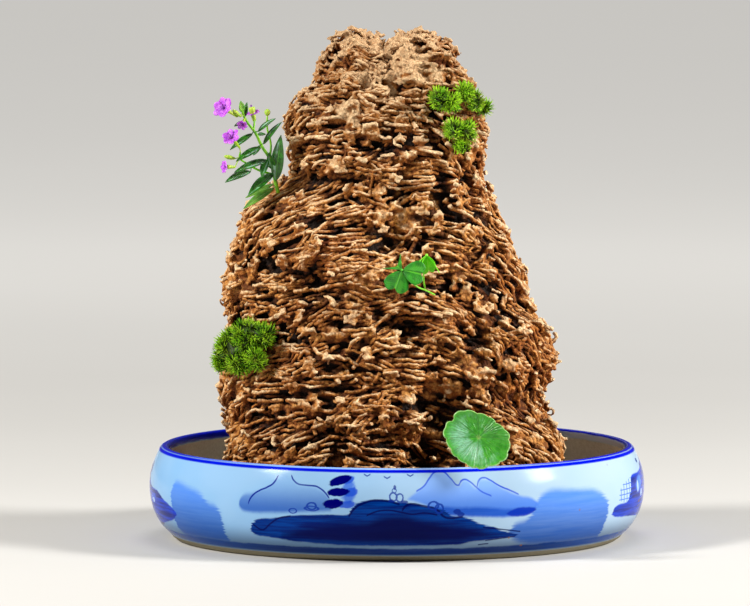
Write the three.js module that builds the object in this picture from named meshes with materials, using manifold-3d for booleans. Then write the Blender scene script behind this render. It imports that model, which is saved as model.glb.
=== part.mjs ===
// A crag of petrified reeds in a shallow glazed tray, planted with moss, a flowering sprig, clover and pennywort.
// Millimetres, +Z up. The origin is on the table under the middle of the tray, and the front faces -Y.
import * as THREE from "three";
import { mergeVertices } from "three/addons/utils/BufferGeometryUtils.js";
import Module from "manifold-3d";

const wasm = await Module();
wasm.setup();

// Driving dimensions
const GAP = 0.35; // clearance between two pieces that touch
const TRAY = {
  height: 36.8,
  rimRadius: 91.6, // to the middle of the lip
  lip: 4.9, // thickness of the lip
  bellyRadius: 97.6,
  bellyHeight: 20.5,
  wall: 4.2,
  floor: 5,
  footRadius: 89.5,
  footWidth: 9,
  footHeight: 3,
};
const CRAG = {
  base: TRAY.floor + GAP,
  shoulder: 184, // where the flanks turn into the crown
  crown: 197.2,
  middle: [-4, -2], // the axis that the azimuths are counted round
  squareness: 2.6, // exponent of the plan outline: 2 is an ellipse
  segments: 30,
  rings: 32,
  ledge: 4, // how far the ledges stand out and in
};
const REED = { radius: 2.1, shortest: 20, longest: 32, count: 30, bore: 1.1, boreDepth: 5 };
const LEAF = { thickness: 0.8 };
const PENNYWORT = { radius: 12.4, lobes: 10, thickness: 0.9, cup: 1.6, stalk: 0.9 };
const CLOVER = { length: 8.2, halfWidth: 2.6, thickness: 0.7, stalk: 0.45 };
const FLOWER = { petals: 6, thickness: 0.6, tube: 1.05 };

// The crag's outline: height, then the left, right, front and back limits of its body
const OUTLINE = [
  [5, -65, 62, -55, 50],
  [36, -66.5, 65, -56, 51],
  [43, -67.5, 64.5, -56, 51],
  [50, -68, 58.5, -55, 51],
  [56, -70, 58, -54, 50],
  [62, -71, 61, -53, 50],
  [72, -70.5, 63.3, -52, 49],
  [80, -68, 60, -51, 48],
  [90, -67, 54.5, -49, 46],
  [98, -68, 51.5, -47, 45],
  [106, -67, 50.5, -45, 44],
  [113, -66, 46, -43, 43],
  [120, -64.5, 43.5, -41, 41],
  [127, -63, 40, -39, 39],
  [131, -57.5, 36, -37, 37],
  [135, -51.5, 39, -36, 35],
  [139, -45, 36.5, -35, 34],
  [146, -43, 33, -33, 32],
  [155, -45, 34.5, -31, 31],
  [163, -45, 34.5, -28, 29],
  [170, -42, 33, -25, 27],
  [177, -36.5, 30.5, -22, 24],
  [184, -31, 26, -19, 21],
];
// The two peaks of the crown: x, y, rise, spread across, spread in depth
const PEAKS = [
  [-19, -2, 6.6, 7, 10],
  [7, 0, 6, 9, 11],
];
// Humps (positive) and hollows (negative) of the front face: x, height, half width, half height, depth
const FRONT_RELIEF = [
  [-9, 176, 8, 7, 4],
  [19, 184, 10, 8, 3],
  [-18, 151, 14, 5, 4],
  [16, 152, 12, 7, 4],
  [-6, 135, 16, 4, 3.5],
  [-30, 117, 16, 8, 6],
  [18, 118, 12, 6, 4],
  [-20, 103, 7, 12, 5],
  [17, 86, 10, 10, 5],
  [-9, 50, 14, 8, 7],
  [-40, 36, 26, 14, 5],
  [50, 30, 14, 14, 4],
  [-11, 190, 5, 10, -7],
  [17, 171, 8, 6, -5],
  [-7, 157, 8, 4, -5],
  [-24, 141, 14, 4, -5],
  [11, 125, 14, 5, -6],
  [-34, 103, 8, 4, -5],
  [-7, 95, 6, 5, -5],
  [6, 88, 8, 7, -8],
  [34, 85, 8, 5, -5],
  [14, 44, 9, 13, -14],
  [23, 55, 9, 7, -8],
  [-34, 50, 24, 4, -4],
  [27, 76, 6, 32, -4],
];
// The same for the back face
const BACK_RELIEF = [
  [-30, 150, 12, 8, 4],
  [12, 128, 16, 6, 5],
  [-38, 96, 18, 8, 5],
  [30, 70, 16, 9, 6],
  [-14, 36, 24, 12, 6],
  [-6, 168, 9, 6, -5],
  [-22, 118, 12, 5, -6],
  [22, 100, 12, 6, -7],
  [-4, 74, 14, 6, -7],
  [42, 34, 10, 12, -7],
];
// The lie of the reeds round the crag: azimuth in degrees (0 right, -90 front), rise of the reeds in degrees
const LIE = [
  [-180, 62],
  [-155, 40],
  [-135, 12],
  [-90, 7],
  [-68, -2],
  [-52, -36],
  [-20, -52],
  [25, -38],
  [70, -6],
  [120, 10],
  [160, 42],
  [180, 62],
];

// Materials
const glaze = { color: 0xdfeaf4, roughness: 0.12, metalness: 0 };
const tufa = { color: 0xb98a5c, roughness: 0.95, metalness: 0 };
const mossGreen = { color: 0x4f8a12, roughness: 0.9, metalness: 0 };
const leafGreen = { color: 0x2f7a1e, roughness: 0.45, metalness: 0 };
const stemGreen = { color: 0x9ac23a, roughness: 0.5, metalness: 0 };
const cloverGreen = { color: 0x2ea52a, roughness: 0.55, metalness: 0 };
const padGreen = { color: 0x6cc35a, roughness: 0.4, metalness: 0 };
const petalMauve = { color: 0xc25be0, roughness: 0.6, metalness: 0 };

// The closed solid inside a geometry
function solidOf(geometry) {
  const bare = geometry.clone();
  bare.deleteAttribute("normal");
  bare.deleteAttribute("uv");
  const merged = mergeVertices(bare, 1e-4);
  const mesh = new wasm.Mesh({
    numProp: 3,
    vertProperties: merged.attributes.position.array,
    triVerts: new Uint32Array(merged.index.array),
  });
  return new wasm.Manifold(mesh);
}

function geometryOf(solid) {
  const mesh = solid.getMesh();
  const geometry = new THREE.BufferGeometry();
  geometry.setAttribute("position", new THREE.BufferAttribute(mesh.vertProperties, 3));
  geometry.setIndex(new THREE.BufferAttribute(mesh.triVerts, 1));
  geometry.computeVertexNormals();
  return geometry;
}

function mesh(name, geometry, finish) {
  const made = new THREE.Mesh(geometry, new THREE.MeshStandardMaterial(finish));
  made.name = name;
  return made;
}

// A value read off a table of rows sorted by their first entry
function between(table, at, column) {
  const last = table.length - 1;
  if (at <= table[0][0]) return table[0][column];
  for (let i = 1; i <= last; i++)
    if (at <= table[i][0]) {
      const share = (at - table[i - 1][0]) / (table[i][0] - table[i - 1][0]);
      return THREE.MathUtils.lerp(table[i - 1][column], table[i][column], share);
    }
  return table[last][column];
}

// Smooth noise from -1 to 1 on a lattice of unit cells
function lattice(i, j, k) {
  const mixed = Math.sin(i * 127.1 + j * 311.7 + k * 74.7) * 43758.5453;
  return (mixed - Math.floor(mixed)) * 2 - 1;
}
function noise(x, y, z) {
  const [i, j, k] = [Math.floor(x), Math.floor(y), Math.floor(z)];
  const [u, v, w] = [x - i, y - j, z - k].map((t) => t * t * (3 - 2 * t));
  const { lerp } = THREE.MathUtils;
  const layer = (c) =>
    lerp(
      lerp(lattice(i, j, c), lattice(i + 1, j, c), u),
      lerp(lattice(i, j + 1, c), lattice(i + 1, j + 1, c), u),
      v,
    );
  return lerp(layer(k), layer(k + 1), w);
}

// Moves a geometry built along +X so that it starts at one point and aims at another, turned by roll about that line
function aim(object, from, to, roll = 0) {
  const along = new THREE.Vector3().subVectors(to, from).normalize();
  const side = new THREE.Vector3(0, 0, 1).cross(along);
  if (side.lengthSq() < 1e-6) side.set(0, 1, 0);
  side.normalize().applyAxisAngle(along, roll);
  const up = new THREE.Vector3().crossVectors(along, side);
  object.quaternion.setFromRotationMatrix(new THREE.Matrix4().makeBasis(along, side, up));
  object.position.copy(from);
  return object;
}

// A round stem through points, tapering is left out
function stemGeometry(points, radius, steps, sides = 6) {
  const ring = new THREE.Shape();
  for (let i = 0; i < sides; i++) {
    const turn = (2 * Math.PI * i) / sides;
    ring[i ? "lineTo" : "moveTo"](radius * Math.cos(turn), radius * Math.sin(turn));
  }
  const path = new THREE.CatmullRomCurve3(points.map((p) => new THREE.Vector3(...p)));
  return new THREE.ExtrudeGeometry(ring, { steps, extrudePath: path });
}

// The tray: a glazed belly on an unglazed foot, open above
function trayGeometry() {
  const { height, rimRadius, lip, bellyRadius, bellyHeight, wall, floor } = TRAY;
  const { footRadius, footWidth, footHeight } = TRAY;
  const belly = 12.6; // how far the belly stands out from the centre of its arc
  const centre = bellyRadius - belly;
  const lipHeight = height - 1.9;
  const outer = new THREE.EllipseCurve(centre, bellyHeight, belly, 21, -0.985, 0.755);
  const over = new THREE.EllipseCurve(rimRadius, lipHeight, lip / 2, height - lipHeight, 0.35, 2.8);
  const inner = new THREE.EllipseCurve(centre, bellyHeight, belly - wall, 16.7, 1.0, -1.1, true);
  const profile = [
    new THREE.Vector2(0, 1.4),
    new THREE.Vector2(footRadius - footWidth - 1.4, 1.4),
    new THREE.Vector2(footRadius - footWidth, 0),
    new THREE.Vector2(footRadius - 0.6, 0),
    new THREE.Vector2(footRadius + 0.7, footHeight - 0.2),
    ...outer.getPoints(6),
    ...over.getPoints(3),
    ...inner.getPoints(4),
    new THREE.Vector2(centre - 1, floor),
    new THREE.Vector2(0, floor),
  ];
  return new THREE.LatheGeometry(profile, 36).rotateX(Math.PI / 2);
}

// How far the crag's skin stands out from its outline at a point
function relief(x, y, z) {
  const facing = y - CRAG.middle[1];
  const table = facing < 0 ? FRONT_RELIEF : BACK_RELIEF;
  const fade = THREE.MathUtils.smoothstep(Math.abs(facing), 4, 16);
  const ledges = CRAG.ledge * noise(x / 26, y / 26, z / 8.5) + 1.4 * noise(x / 9, y / 9 + 40, z / 6);
  let out = ledges * (0.45 + 0.55 * fade); // calmer at the two sides, where the outline table rules
  for (const [cx, cz, wide, high, depth] of table)
    out += fade * depth * Math.exp(-(((x - cx) / wide) ** 2) - ((z - cz) / high) ** 2);
  return out;
}

// A point of the crag's skin: azimuth in radians, height, and the share of the way out from the axis
function skin(azimuth, z, share = 1) {
  const [left, right, front, back] = [1, 2, 3, 4].map((column) => between(OUTLINE, z, column));
  const [c, s] = [Math.cos(azimuth), Math.sin(azimuth)];
  const bend = 2 / CRAG.squareness;
  const [cx, cy] = [(left + right) / 2, (front + back) / 2];
  const x = cx + ((right - left) / 2) * Math.sign(c) * Math.abs(c) ** bend;
  const y = cy + ((back - front) / 2) * Math.sign(s) * Math.abs(s) ** bend;
  const calm = THREE.MathUtils.smoothstep(z, CRAG.base, CRAG.base + 8); // the foot is cut plain
  const out = 1 + (relief(x, y, z) * (0.4 + 0.6 * calm)) / Math.hypot(x - cx, y - cy);
  return new THREE.Vector3(cx + (x - cx) * out * share, cy + (y - cy) * out * share, z);
}

function crownHeight(x, y) {
  return PEAKS.reduce(
    (top, [px, py, rise, wide, deep]) =>
      top + rise * Math.exp(-(((x - px) / wide) ** 2) - ((y - py) / deep) ** 2),
    CRAG.crown,
  );
}

// The body of the crag, drawn from a ball whose parallels become its level rings
function cragBody() {
  const { segments, rings, base, shoulder } = CRAG;
  const crownShare = 0.16;
  const footShare = 0.94;
  const ball = new THREE.SphereGeometry(1, segments, rings).rotateX(Math.PI / 2);
  const place = ball.attributes.position;
  for (let n = 0; n < place.count; n++) {
    const [x, y, z] = [place.getX(n), place.getY(n), place.getZ(n)];
    const ring = Math.round((Math.acos(THREE.MathUtils.clamp(z, -1, 1)) / Math.PI) * rings);
    const step = Math.round((Math.atan2(y, x) / (2 * Math.PI)) * segments + segments) % segments;
    const azimuth = (2 * Math.PI * step) / segments;
    const fall = ring / rings;
    let point;
    if (fall < crownShare) {
      const share = Math.sin(((fall / crownShare) * Math.PI) / 2);
      point = skin(azimuth, shoulder, share);
      const top = crownHeight(point.x, point.y) + 1.2 * noise(point.x / 5, point.y / 5, 3);
      point.z = shoulder + (top - shoulder) * (1 - share ** 3) ** (1 / 3);
    } else if (fall < footShare) {
      const down = (fall - crownShare) / (footShare - crownShare);
      point = skin(azimuth, THREE.MathUtils.lerp(shoulder, base, down));
    } else {
      point = skin(azimuth, base, (1 - fall) / (1 - footShare));
    }
    place.setXYZ(n, point.x, point.y, point.z);
  }
  return solidOf(ball);
}

// One big reed bent round the skin, and the bore at its open end
function reedAt(azimuth, z, length) {
  const degrees = THREE.MathUtils.radToDeg(Math.atan2(Math.sin(azimuth), Math.cos(azimuth)));
  const tilt = THREE.MathUtils.degToRad(between(LIE, degrees, 1) + 14 * noise(z / 7, azimuth * 3, 9));
  const spread = Math.hypot(skin(azimuth, z).x, skin(azimuth, z).y);
  const points = [-0.5, -0.17, 0.17, 0.5].map((share) => {
    const turn = (share * length * Math.cos(tilt)) / spread;
    const climb = share * length * Math.sin(tilt);
    return skin(azimuth + turn, z + climb).toArray();
  });
  const { radius, bore, boreDepth } = REED;
  const mouth = new THREE.Object3D();
  const end = new THREE.Vector3(...points[3]);
  aim(mouth, end, end.clone().multiplyScalar(2).sub(new THREE.Vector3(...points[2])));
  mouth.updateMatrix();
  const hole = new THREE.CylinderGeometry(bore, bore, boreDepth, 5, 1);
  hole.rotateZ(-Math.PI / 2).applyMatrix4(mouth.matrix);
  return { rod: solidOf(stemGeometry(points, radius, 3, 5)), hole: solidOf(hole) };
}

// The crag with its biggest reeds fused to it and its foot cut level
function crag() {
  const goldenAngle = Math.PI * (3 - Math.sqrt(5));
  const rods = [];
  const holes = [];
  for (let n = 0; n < REED.count; n++) {
    const share = (n + 0.5) / REED.count;
    const z = 14 + 172 * (1 - Math.sqrt(1 - 0.86 * share)) / (1 - Math.sqrt(0.14));
    const length = THREE.MathUtils.lerp(REED.shortest, REED.longest, (n * 0.618) % 1) * (z > 150 ? 0.7 : 1);
    const reed = reedAt(n * goldenAngle, z, length);
    rods.push(reed.rod);
    if (n % 2) holes.push(reed.hole);
  }
  const floor = solidOf(new THREE.BoxGeometry(220, 220, 20).translate(0, 0, CRAG.base - 10));
  return wasm.Manifold.union([cragBody(), ...rods]).subtract(wasm.Manifold.union([floor, ...holes]));
}

// Cushions of moss, each a heap of clumps: centre, then radius
const MOSS_HEAPS = {
  moss_cushion_left: [
    [-58, -38, 83, 7.5],
    [-64, -33, 79, 7.5],
    [-67, -28, 73, 6],
    [-52, -42, 84, 5],
    [-61, -38, 74, 6.5],
    [-55, -43, 74, 5],
  ],
  moss_tuft_upper: [
    [16.5, -27, 175, 4.6],
    [21, -26, 173.5, 4.6],
    [26.5, -21, 177, 4.2],
    [30.5, -17, 173.5, 4.2],
    [34.5, -12, 170.5, 3.6],
  ],
  moss_tuft_lower: [
    [22, -29.5, 163.5, 4.2],
    [27.5, -26, 162.5, 4.4],
    [25.5, -28, 157, 3.4],
  ],
};
function mossHeap(clumps, swell = 0) {
  const balls = clumps.map(([x, y, z, radius]) => {
    const ball = new THREE.SphereGeometry(radius + swell, 6, 5);
    return solidOf(ball.rotateX(y).rotateZ(x).translate(x, y, z));
  });
  return wasm.Manifold.union(balls);
}

// A pointed leaf along +X, thickest at the midrib and curving down to its tip
function leafGeometry(length, width, droop) {
  const outline = new THREE.Shape();
  outline.moveTo(0, 0);
  outline.quadraticCurveTo(length * 0.3, width * 0.75, length * 0.68, width * 0.4);
  outline.lineTo(length, 0);
  outline.lineTo(length * 0.68, -width * 0.4);
  outline.quadraticCurveTo(length * 0.3, -width * 0.75, 0, 0);
  const blade = new THREE.ExtrudeGeometry(outline, {
    depth: LEAF.thickness,
    bevelEnabled: false,
    curveSegments: 2,
  });
  blade.translate(0, 0, -LEAF.thickness / 2);
  const place = blade.attributes.position;
  for (let n = 0; n < place.count; n++) {
    const [x, y, z] = [place.getX(n), place.getY(n), place.getZ(n)];
    place.setZ(n, z + Math.abs(y) * 0.25 - droop * (x / length) ** 2);
  }
  return blade;
}

// The sprig: its stems, as points and a radius
const SPRIG_STEMS = {
  sprig_stem_main: [
    0.75,
    [
      [-46.5, -15, 137],
      [-48.2, -16, 144],
      [-49, -17, 150],
      [-53.4, -18, 156.5],
      [-56.5, -19, 162.5],
      [-59.6, -20, 167.2],
      [-60.6, -20.5, 171],
    ],
  ],
  sprig_stem_low: [
    0.5,
    [
      [-49.7, -16.8, 144.5],
      [-54, -17.6, 146],
      [-58.5, -18.6, 148.6],
      [-62, -20.4, 151.5],
      [-61.8, -22.4, 153.8],
    ],
  ],
  sprig_stem_back: [
    0.45,
    [
      [-48.4, -13.6, 150.5],
      [-48.6, -11.6, 156],
      [-51, -10.6, 162],
      [-51.1, -10.4, 166.3],
    ],
  ],
  sprig_stem_side: [
    0.4,
    [
      [-55.4, -17.2, 162],
      [-56, -16, 164.5],
      [-56.8, -15.6, 166.6],
    ],
  ],
};
// Its leaves: foot, tip, width, droop, roll in degrees
const SPRIG_LEAVES = [
  [[-57.7, -20.4, 161.6], [-66.5, -25, 157], 3, 1, 25],
  [[-55, -19.8, 156.6], [-63.5, -25.5, 152.3], 3.2, 1, 20],
  [[-51.2, -18.9, 151], [-64, -27, 146.6], 3.8, 1.4, 25],
  [[-57.2, -19.8, 146.4], [-67.4, -25.6, 142.4], 3.4, 1, 30],
  [[-56, -20.6, 163.2], [-48.6, -25, 168.2], 3, 0.8, -35],
  [[-53, -19.6, 158], [-46.4, -25.2, 166.2], 3.2, 0.8, -40],
  [[-49.6, -18.6, 152.2], [-47.4, -23.6, 161.4], 3.2, 0.6, -60],
  [[-51.4, -21, 144.4], [-58.6, -26.5, 136.8], 3, 0.8, 40],
  [[-48.9, -17.8, 142.6], [-56.4, -27, 136.2], 4, 1, 45],
  [[-48.4, -14.6, 140.8], [-59.5, -17.2, 135.4], 2.4, 0.6, 25],
  [[-48.2, -16.8, 139.4], [-59.5, -20.2, 131.4], 3.8, 1, 35],
  [[-47.2, -18, 144.2], [-48, -23.5, 150.4], 3.6, 0.4, -70],
  [[-60.8, -20.2, 166.4], [-65, -20.6, 164.9], 2, 0.4, 20],
  [[-54.4, -17, 160.4], [-50.6, -15, 160.8], 2, 0.4, -20],
  [[-53.6, -16.8, 155.2], [-57, -13.6, 151.2], 2.4, 0.4, 30],
  [[-61.3, -20.8, 171.6], [-62.4, -21.6, 175.2], 1.9, 0.2, 40],
  [[-60, -20, 171.5], [-59.2, -19.2, 174.8], 1.9, 0.2, -40],
];
// Its flowers: foot of the green tube, mouth of the tube, radius of the petals
const SPRIG_FLOWERS = [
  [[-61.6, -21.4, 168.2], [-66.6, -23.6, 170.6], 3.3],
  [[-62.2, -24.4, 155.2], [-64.6, -29.4, 158.4], 3.2],
  [[-59.6, -21.9, 166.2], [-60.4, -24.8, 164.4], 2.2],
  [[-57.4, -15.4, 167.8], [-56.9, -14.8, 171.6], 2.6],
  [[-63.1, -22.6, 150.6], [-67, -24.4, 148.6], 2.3],
];
// Its buds: foot, tip
const SPRIG_BUDS = [
  [[-62.6, -20.4, 168.7], [-64.6, -19, 171.6]],
  [[-51, -10.4, 167.2], [-50.8, -10.2, 170.8]],
  [[-63.4, -21, 153], [-67.8, -21.4, 153.6]],
];

// Petals spread round the mouth of a flower, as one lobed disc facing +X
function petalGeometry(radius) {
  const { petals, thickness } = FLOWER;
  const disc = new THREE.CylinderGeometry(radius, radius, thickness, petals * 2, 1);
  const place = disc.attributes.position;
  for (let n = 0; n < place.count; n++) {
    const [x, y, z] = [place.getX(n), place.getY(n), place.getZ(n)];
    const reach = Math.hypot(x, z) / radius;
    const lobe = 0.6 + 0.4 * Math.abs(Math.cos((petals / 2) * Math.atan2(x, z)));
    place.setXYZ(n, x * lobe, y + reach * lobe * radius * 0.22, z * lobe);
  }
  return disc.rotateZ(-Math.PI / 2);
}
function tubeGeometry(length) {
  const swell = new THREE.CylinderGeometry(FLOWER.tube, FLOWER.tube * 0.6, length, 5, 1);
  return swell.rotateZ(-Math.PI / 2).translate(length / 2, 0, 0);
}
function budGeometry(length) {
  return new THREE.SphereGeometry(1, 5, 4).scale(length / 2, 0.85, 0.85).translate(length / 2, 0, 0);
}

function sprig() {
  const group = new THREE.Group();
  const point = (p) => new THREE.Vector3(...p);
  for (const [name, [radius, points]] of Object.entries(SPRIG_STEMS))
    group.add(mesh(name, stemGeometry(points, radius, points.length + 2, 5), stemGreen));
  SPRIG_LEAVES.forEach(([foot, tip, width, droop, roll], n) => {
    const blade = leafGeometry(point(foot).distanceTo(point(tip)), width, droop);
    const name = "sprig_leaf_" + String(n + 1).padStart(2, "0");
    group.add(aim(mesh(name, blade, leafGreen), point(foot), point(tip), THREE.MathUtils.degToRad(roll)));
  });
  SPRIG_FLOWERS.forEach(([foot, mouth, radius], n) => {
    const [from, to] = [point(foot), point(mouth)];
    const tube = mesh("sprig_calyx_" + (n + 1), tubeGeometry(from.distanceTo(to)), stemGreen);
    const petals = mesh("sprig_petals_" + (n + 1), petalGeometry(radius), petalMauve);
    group.add(aim(tube, from, to));
    const along = to.clone().sub(from).normalize();
    const centre = to.clone().addScaledVector(along, FLOWER.thickness / 2 + GAP);
    group.add(aim(petals, centre, centre.clone().add(along)));
  });
  SPRIG_BUDS.forEach(([foot, tip], n) => {
    const [from, to] = [point(foot), point(tip)];
    group.add(aim(mesh("sprig_bud_" + (n + 1), budGeometry(from.distanceTo(to)), stemGreen), from, to));
  });
  return group;
}

// One heart-shaped leaflet of clover, from its foot along +X to the notch at its end
function leafletSolid({ length, halfWidth, thickness } = CLOVER) {
  const heart = new THREE.Shape();
  heart.moveTo(0, 0);
  heart.quadraticCurveTo(length * 0.35, halfWidth * 1.1, length * 0.75, halfWidth * 1.9);
  heart.quadraticCurveTo(length * 1.1, halfWidth * 1.5, length * 0.93, 0);
  heart.quadraticCurveTo(length * 1.1, -halfWidth * 1.5, length * 0.75, -halfWidth * 1.9);
  heart.quadraticCurveTo(length * 0.35, -halfWidth * 1.1, 0, 0);
  const blade = new THREE.ExtrudeGeometry(heart, { depth: thickness, bevelEnabled: false, curveSegments: 2 });
  return blade.translate(0, 0, -thickness / 2);
}
// The clover's two leaves: the hub, then where each leaflet aims and how far it is rolled
const CLOVER_LEAVES = {
  clover_leaf_front: {
    hub: [2, -62, 111.4],
    leaflets: [
      [[-0.35, -0.25, -0.9], 90],
      [[0.95, -0.2, -0.12], 82],
      [[-0.6, 0.45, 0.65], 40],
    ],
    stalk: [
      [3, -61, 110.4],
      [8, -57.5, 106],
      [13, -53, 101.8],
      [14.5, -46, 99],
    ],
  },
  clover_leaf_back: {
    hub: [13, -54, 116.6],
    leaflets: [
      [[0.16, -0.35, -0.92], 60],
      [[-0.85, -0.1, -0.5], 20],
      [[0.75, -0.25, -0.6], 12],
    ],
    stalk: [
      [13, -52.7, 116.6],
      [12.6, -50.4, 112],
      [11.4, -48.4, 106],
      [11, -43, 102],
    ],
  },
};
function cloverLeaf({ hub, leaflets }) {
  const boss = new THREE.SphereGeometry(0.75, 6, 4).translate(...hub);
  const parts = leaflets.map(([way, roll]) => {
    const lying = new THREE.Object3D();
    const from = new THREE.Vector3(...hub);
    aim(lying, from, from.clone().add(new THREE.Vector3(...way)), THREE.MathUtils.degToRad(roll));
    lying.updateMatrix();
    return solidOf(leafletSolid().applyMatrix4(lying.matrix));
  });
  return wasm.Manifold.union([solidOf(boss), ...parts]);
}

// The pennywort's round scalloped leaf, facing +Z, with its rim raised a little
function pennywortGeometry() {
  const { radius, lobes, thickness, cup } = PENNYWORT;
  const disc = new THREE.CylinderGeometry(radius, radius, thickness, lobes * 3, 1).rotateX(Math.PI / 2);
  const place = disc.attributes.position;
  for (let n = 0; n < place.count; n++) {
    const [x, y, z] = [place.getX(n), place.getY(n), place.getZ(n)];
    const turn = Math.atan2(y, x);
    const scallop = 1 - 0.07 * (1 - Math.abs(Math.sin((lobes * turn) / 2)));
    const reach = Math.hypot(x, y) / radius;
    place.setXYZ(n, x * scallop, y * scallop, z + cup * reach * reach);
  }
  return disc;
}
const PENNYWORT_CENTRE = [32, -92.4, 48.6];
const PENNYWORT_STALK = [
  [31.6, -90.6, 48.6],
  [30, -82, 46],
  [27, -70, 41],
  [23, -56, 38],
  [20, -44, 37],
];

// Assembly
const stalks = {
  clover_stalk_front: [CLOVER.stalk, CLOVER_LEAVES.clover_leaf_front.stalk],
  clover_stalk_back: [CLOVER.stalk, CLOVER_LEAVES.clover_leaf_back.stalk],
  pennywort_stalk: [PENNYWORT.stalk, PENNYWORT_STALK],
};
const sockets = [
  ...Object.values(stalks).map(([radius, points]) => solidOf(stemGeometry(points, radius + 0.2 + GAP, 7, 5))),
  solidOf(stemGeometry(SPRIG_STEMS.sprig_stem_main[1].slice(0, 3), 1.3, 4, 5)),
  ...Object.values(MOSS_HEAPS).map((clumps) => mossHeap(clumps, GAP)),
];
const [stone] = crag()
  .subtract(wasm.Manifold.union(sockets))
  .decompose()
  .sort((a, b) => b.volume() - a.volume()); // bores that ended up buried are left filled

const planted = new THREE.Group();
planted.add(mesh("tray", trayGeometry(), glaze));
planted.add(mesh("stone", geometryOf(stone), tufa));
for (const [name, clumps] of Object.entries(MOSS_HEAPS))
  planted.add(mesh(name, geometryOf(mossHeap(clumps)), mossGreen));
planted.add(sprig());
for (const [name, leaf] of Object.entries(CLOVER_LEAVES))
  planted.add(mesh(name, geometryOf(cloverLeaf(leaf)), cloverGreen));
for (const [name, [radius, points]] of Object.entries(stalks))
  planted.add(mesh(name, stemGeometry(points, radius, 7, 5), stemGreen));
const pad = mesh("pennywort_leaf", pennywortGeometry(), padGreen);
pad.position.set(...PENNYWORT_CENTRE);
pad.rotation.set(THREE.MathUtils.degToRad(76), 0, THREE.MathUtils.degToRad(-4));
planted.add(pad);

export default planted;
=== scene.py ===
"""A crag of petrified reeds in a blue and white tray, with moss, a flowering sprig, clover and pennywort."""
import math
import random

import bmesh
import bpy
import numpy as np
from mathutils import Matrix, Vector, noise
from mathutils.bvhtree import BVHTree


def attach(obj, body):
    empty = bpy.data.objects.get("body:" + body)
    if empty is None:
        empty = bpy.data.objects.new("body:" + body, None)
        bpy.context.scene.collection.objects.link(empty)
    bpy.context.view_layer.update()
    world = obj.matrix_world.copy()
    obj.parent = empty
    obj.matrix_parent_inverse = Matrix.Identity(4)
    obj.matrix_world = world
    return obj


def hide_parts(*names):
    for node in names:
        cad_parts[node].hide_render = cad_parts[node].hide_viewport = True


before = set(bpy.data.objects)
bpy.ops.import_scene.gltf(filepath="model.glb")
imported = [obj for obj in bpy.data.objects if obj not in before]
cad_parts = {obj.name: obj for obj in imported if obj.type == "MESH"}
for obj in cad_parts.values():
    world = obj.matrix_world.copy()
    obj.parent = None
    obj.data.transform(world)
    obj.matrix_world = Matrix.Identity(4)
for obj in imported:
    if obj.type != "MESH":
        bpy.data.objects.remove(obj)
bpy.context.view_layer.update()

MM = 0.001
DICE = random.Random(7)


# Colour and shader helpers

def srgb(red, green, blue):
    """Linear RGBA of a colour given in 0 to 255, as the eye sees it."""
    def linear(level):
        level /= 255
        return level / 12.92 if level <= 0.04045 else ((level + 0.055) / 1.055) ** 2.4
    return (linear(red), linear(green), linear(blue), 1.0)


class Reading:
    """A number that changes over a surface. Sums on it add Math nodes to the finish it belongs to."""

    def __init__(self, finish, socket):
        self.finish = finish
        self.socket = socket

    def math(self, operation, *others):
        made = self.finish.node("ShaderNodeMath", {"operation": operation}, dict(enumerate((self, *others))))
        return Reading(self.finish, made.outputs[0])

    def __add__(self, other):
        return self.math("ADD", other)

    def __sub__(self, other):
        return self.math("SUBTRACT", other)

    def __rsub__(self, other):
        return (self * -1).math("ADD", other)

    def __mul__(self, other):
        return self.math("MULTIPLY", other)

    def __truediv__(self, other):
        return self.math("DIVIDE", other)

    def __pow__(self, other):
        return self.math("POWER", other)

    def __abs__(self):
        return self.math("ABSOLUTE")

    __radd__ = __add__
    __rmul__ = __mul__

    def least(self, other):
        return self.math("MINIMUM", other)

    def most(self, other):
        return self.math("MAXIMUM", other)

    def rise(self, low, high, top=1.0, bottom=0.0):
        """From bottom to top as the reading goes smoothly from low to high; low may be above high."""
        if low > high:
            low, high, top, bottom = high, low, bottom, top
        made = self.finish.node(
            "ShaderNodeMapRange",
            {"interpolation_type": "SMOOTHSTEP"},
            {"Value": self, "From Min": low, "From Max": high, "To Min": bottom, "To Max": top},
        )
        return Reading(self.finish, made.outputs[0])


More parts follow.
